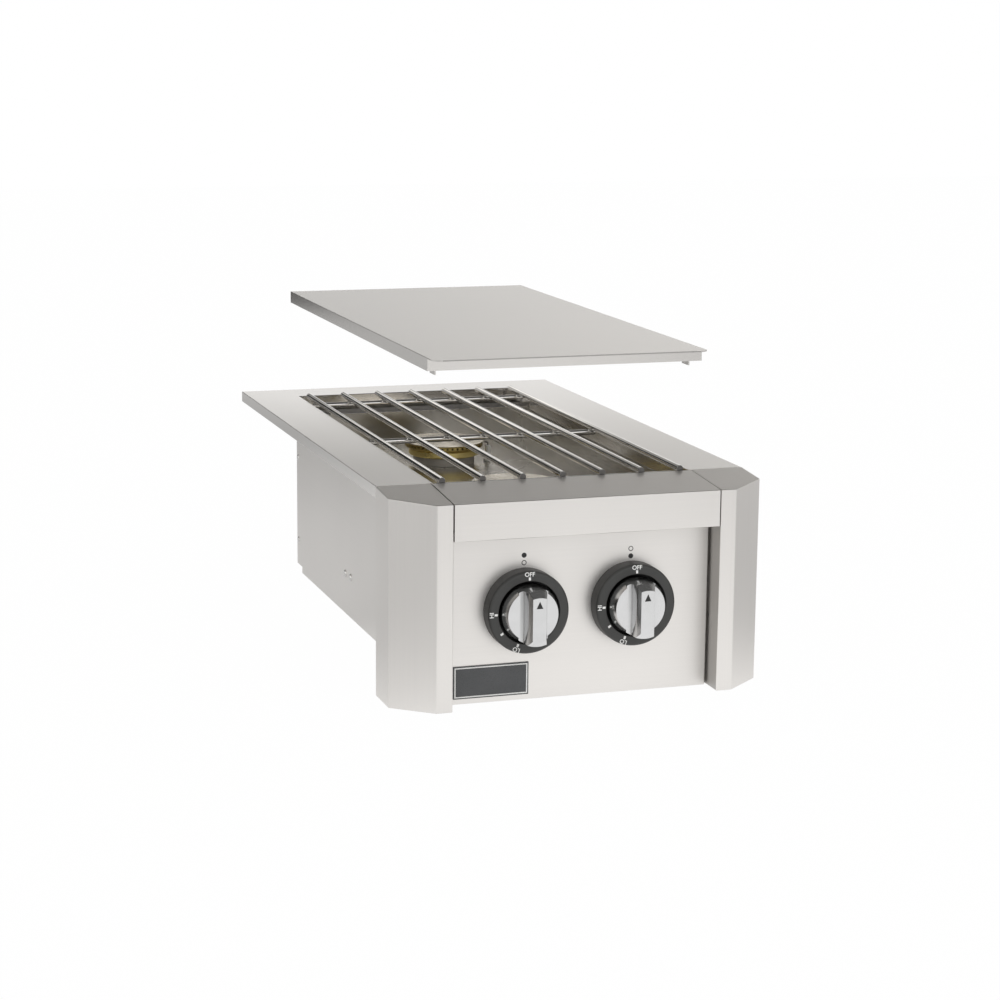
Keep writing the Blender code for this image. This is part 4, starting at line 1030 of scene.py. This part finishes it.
def make_knob(title, sizes):
    """Knob: a hollow skirt that narrows to two half-moon faces, a grip bar and its pointer."""
    node = title + "_knob"
    low, high = (Vector(corner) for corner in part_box(node))
    centre = Vector(((low.x + high.x) / 2, high.y, (low.z + high.z) / 2))
    radius = (high.x - low.x) / 2
    length = high.y - low.y - sizes.print_depth
    skirt, disc, disc_radius, wall, hub, bore = 0.007, 0.015, 0.024, 0.0024, 0.0065, 0.0033
    past, seat_depth, eased = 0.001, 0.0108, 0.0005
    ahead = (0, -1, 0)
    profile = [(0, disc), (disc_radius, disc), (radius, skirt), (radius, 0), (0, 0)]
    body = spun(profile, ahead, centre, 128)
    profile = [(radius - wall, -past), (radius - wall, skirt), (disc_radius - wall, disc - wall),
               (hub, disc - wall), (hub, -past)]
    hollow = spun(profile, ahead, centre, 96)
    seat = bmesh.new()
    bar(seat, centre + Vector((0, past, 0)), centre - Vector((0, seat_depth, 0)), bore, 24)
    bm = carve(body, [("UNION", make_grip(centre, length, skirt, disc)), ("DIFFERENCE", hollow),
                      ("DIFFERENCE", seat)], eased)
    new_piece(title + "_knob_turned", bm, "knob", body_of(node), (node,), 40.0)
    make_pointer(title, centre, length, sizes)


def make_grip(centre, length, foot, disc):
    """Grip bar: a turned piece with chamfered ends and both sides cut away."""
    radius, chamfer, chamfer_depth = 0.026, 0.0055, 0.006
    profile = [(0, length), (radius - chamfer, length), (radius, length - chamfer_depth),
               (radius, foot), (0, foot)]
    turned = spun(profile, (0, -1, 0), centre, 128)
    return carve(turned, [("DIFFERENCE", grip_side(centre, radius, length, foot, disc, side))
                          for side in (-1, 1)])


def grip_side(centre, radius, length, foot, disc, side):
    """Shape cut away beside the grip bar, with a long fillet into the half-moon face."""
    past, top = radius + 0.004, length + 0.0006
    spread, fillet, fillet_depth = 0.0097, 0.0042, 0.0036
    outline = [(0.0062, top), (0.0090, length - 0.006)]
    outline += [(spread + fillet * (1 + x), disc - 0.0001 + fillet_depth * (1 + out))
                for x, out in arc((0, 0), 1.0, 180, 270, 12)]
    outline += [(spread + fillet, foot - 0.001), (past, foot - 0.001), (past, top)]
    bm = bmesh.new()
    face = bm.faces.new([bm.verts.new((centre.x + side * x, centre.y - out, centre.z - past))
                         for x, out in outline])
    thicken(bm, [face], (0, 0, 2 * past))
    return bm


def make_pointer(title, centre, length, sizes):
    """Black triangle near the top of the grip's flat."""
    tall, half, level = 0.0068, 0.0032, 0.0140
    front = centre.y - length
    bm = bmesh.new()
    corners = [(-half, level - tall / 2), (half, level - tall / 2), (0, level + tall / 2)]
    face = bm.faces.new([bm.verts.new((centre.x + x, front, centre.z + z)) for x, z in corners])
    thicken(bm, [face], (0, -sizes.print_depth, 0))
    new_piece(title + "_pointer", bm, "print_black", title + "_dial")


class BURNER_OT_gas(bpy.types.Operator):
    """Valves, manifold, pipes, mixing tubes and igniter leads"""

    bl_idname = "side_burner.gas"
    bl_label = "Gas Train"

    def execute(self, context):
        finishes = {"valve": "casting", "orifice": "fitting_brass", "valve_clamp": "zinc",
                    "venturi": "zinc", "air_shutter": "zinc", "venturi_support": "zinc",
                    "igniter_lead": "sleeve"}
        for title in BURNERS:
            for part, finish in finishes.items():
                refinish("%s_%s" % (title, part), finish)
        refinish("manifold_pipe", "zinc")
        refinish("inlet_pipe", "casting")
        refinish("inlet_fitting", "fitting_brass")
        return {"FINISHED"}


class BURNER_OT_cover(bpy.types.Operator):
    """Lift-off cover and its locating tabs"""

    bl_idname = "side_burner.cover"
    bl_label = "Cover"

    def execute(self, context):
        sizes = context.scene.side_burner_sheet
        # The lip's cut front edge takes the darker steel: a painted shadow line
        finishes = ("cover_steel", "mill_steel", "painted_shade_steel")
        cover = dress_sheet("cover", finishes, sizes, (0, 0, -1))
        cover.visible_glossy = False
        for end in ("front", "rear"):
            for side in SIDES:
                dress_sheet("cover_tab_%s_%s" % (end, side), "cover_steel", sizes)
        return {"FINISHED"}


class BURNER_OT_trim(bpy.types.Operator):
    """Badge plate, left bare, and the bolts and screws of the burner box"""

    bl_idname = "side_burner.trim"
    bl_label = "Trim"

    def execute(self, context):
        make_badge_plate()
        make_box_bolts()
        return {"FINISHED"}


def make_badge_plate():
    """Bare dark plate with a thin pale border line, low on the panel's left."""
    left, right, low, high = -0.1216, -0.0490, PLATE_TOP - 0.1925, PLATE_TOP - 0.1617
    front, border, line, edge_round, depth = PANEL_FACE - 0.0010, 0.0012, 0.0011, 0.0003, 0.00006
    bm = bmesh.new()
    block(bm, (left, front, low), (right, PANEL_FACE, high))
    round_edges(bm, list(bm.edges), edge_round, 2)
    new_piece("badge_plate", bm, "badge", "body")
    rim = bmesh.new()
    left, right, low, high = left + border, right - border, low + border, high - border
    face = rim.faces.new([rim.verts.new((x, front, z)) for x, z in (
        (left, low), (right, low), (right, high), (left, high))])
    rim.normal_update()
    inner = bmesh.ops.inset_region(rim, faces=[face], thickness=line, use_even_offset=True,
                                   use_boundary=True)["faces"]
    bmesh.ops.delete(rim, geom=[face], context="FACES_ONLY")
    thicken(rim, inner, (0, -depth, 0))
    new_piece("badge_border", rim, "print_white", "body")


def make_box_bolts():
    """Round-headed bolts on the box sides, and the screws along its back edge."""
    side_low, side_high = (Vector(corner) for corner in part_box("left_side_panel"))
    bolt, screw, rear = 0.0041, 0.0032, side_high.y - 0.007
    places = [(FACE + 0.3847, 0.1547, bolt), (FACE + 0.3630, 0.1544, bolt),
              (rear, 0.0683, screw), (rear, 0.1621, screw)]
    for side_name, side in SIDES.items():
        heads = bmesh.new()
        for y, drop, radius in places:
            tall = radius * 0.5
            profile = [(0, tall)]
            profile += [(radius * x, tall * out) for x, out in arc((0, 0), 1.0, 90, 12, 6)[1:]]
            profile += [(radius, 0), (0, 0)]
            seat = (side * abs(side_low.x), y, PLATE_TOP - drop)
            absorb(heads, spun(profile, (side, 0, 0), seat, 32))
        new_piece(side_name + "_box_bolts", heads, "bolt", "body")


class BURNER_PT_panel(bpy.types.Panel):
    """Lists the steps in order, and their settings"""

    bl_label = "Side Burner"
    bl_idname = "BURNER_PT_panel"
    bl_space_type = "VIEW_3D"
    bl_region_type = "UI"
    bl_category = "Side Burner"

    def draw(self, context):
        for step in STEPS:
            self.layout.operator(step.bl_idname)
        for group in SETTINGS:
            for name in SETTINGS[group].__annotations__:
                self.layout.prop(getattr(context.scene, group), name)


STEPS = (BURNER_OT_stage, BURNER_OT_shell, BURNER_OT_grate, BURNER_OT_burners, BURNER_OT_dials,
         BURNER_OT_gas, BURNER_OT_cover, BURNER_OT_trim)
SETTINGS = {"side_burner_sheet": SheetSizes, "side_burner_grate": GrateSizes,
            "side_burner_dial": DialSizes, "side_burner_colours": FinishColours,
            "side_burner_stage": StageSizes}


def register():
    """Register the settings, steps and panel."""
    for name, group in SETTINGS.items():
        bpy.utils.register_class(group)
        setattr(bpy.types.Scene, name, PointerProperty(type=group))
    for step in STEPS:
        bpy.utils.register_class(step)
    bpy.utils.register_class(BURNER_PT_panel)


def unregister():
    """Undo register."""
    bpy.utils.unregister_class(BURNER_PT_panel)
    for step in reversed(STEPS):
        bpy.utils.unregister_class(step)
    for name, group in reversed(SETTINGS.items()):
        delattr(bpy.types.Scene, name)
        bpy.utils.unregister_class(group)


def main():
    """Register, make the finishes and run every step in order."""
    register()
    make_finishes(bpy.context.scene.side_burner_colours)
    for step in STEPS:
        group, name = step.bl_idname.split(".")
        getattr(getattr(bpy.ops, group), name)()
    bpy.context.view_layer.update()


if __name__ == "__main__":
    main()
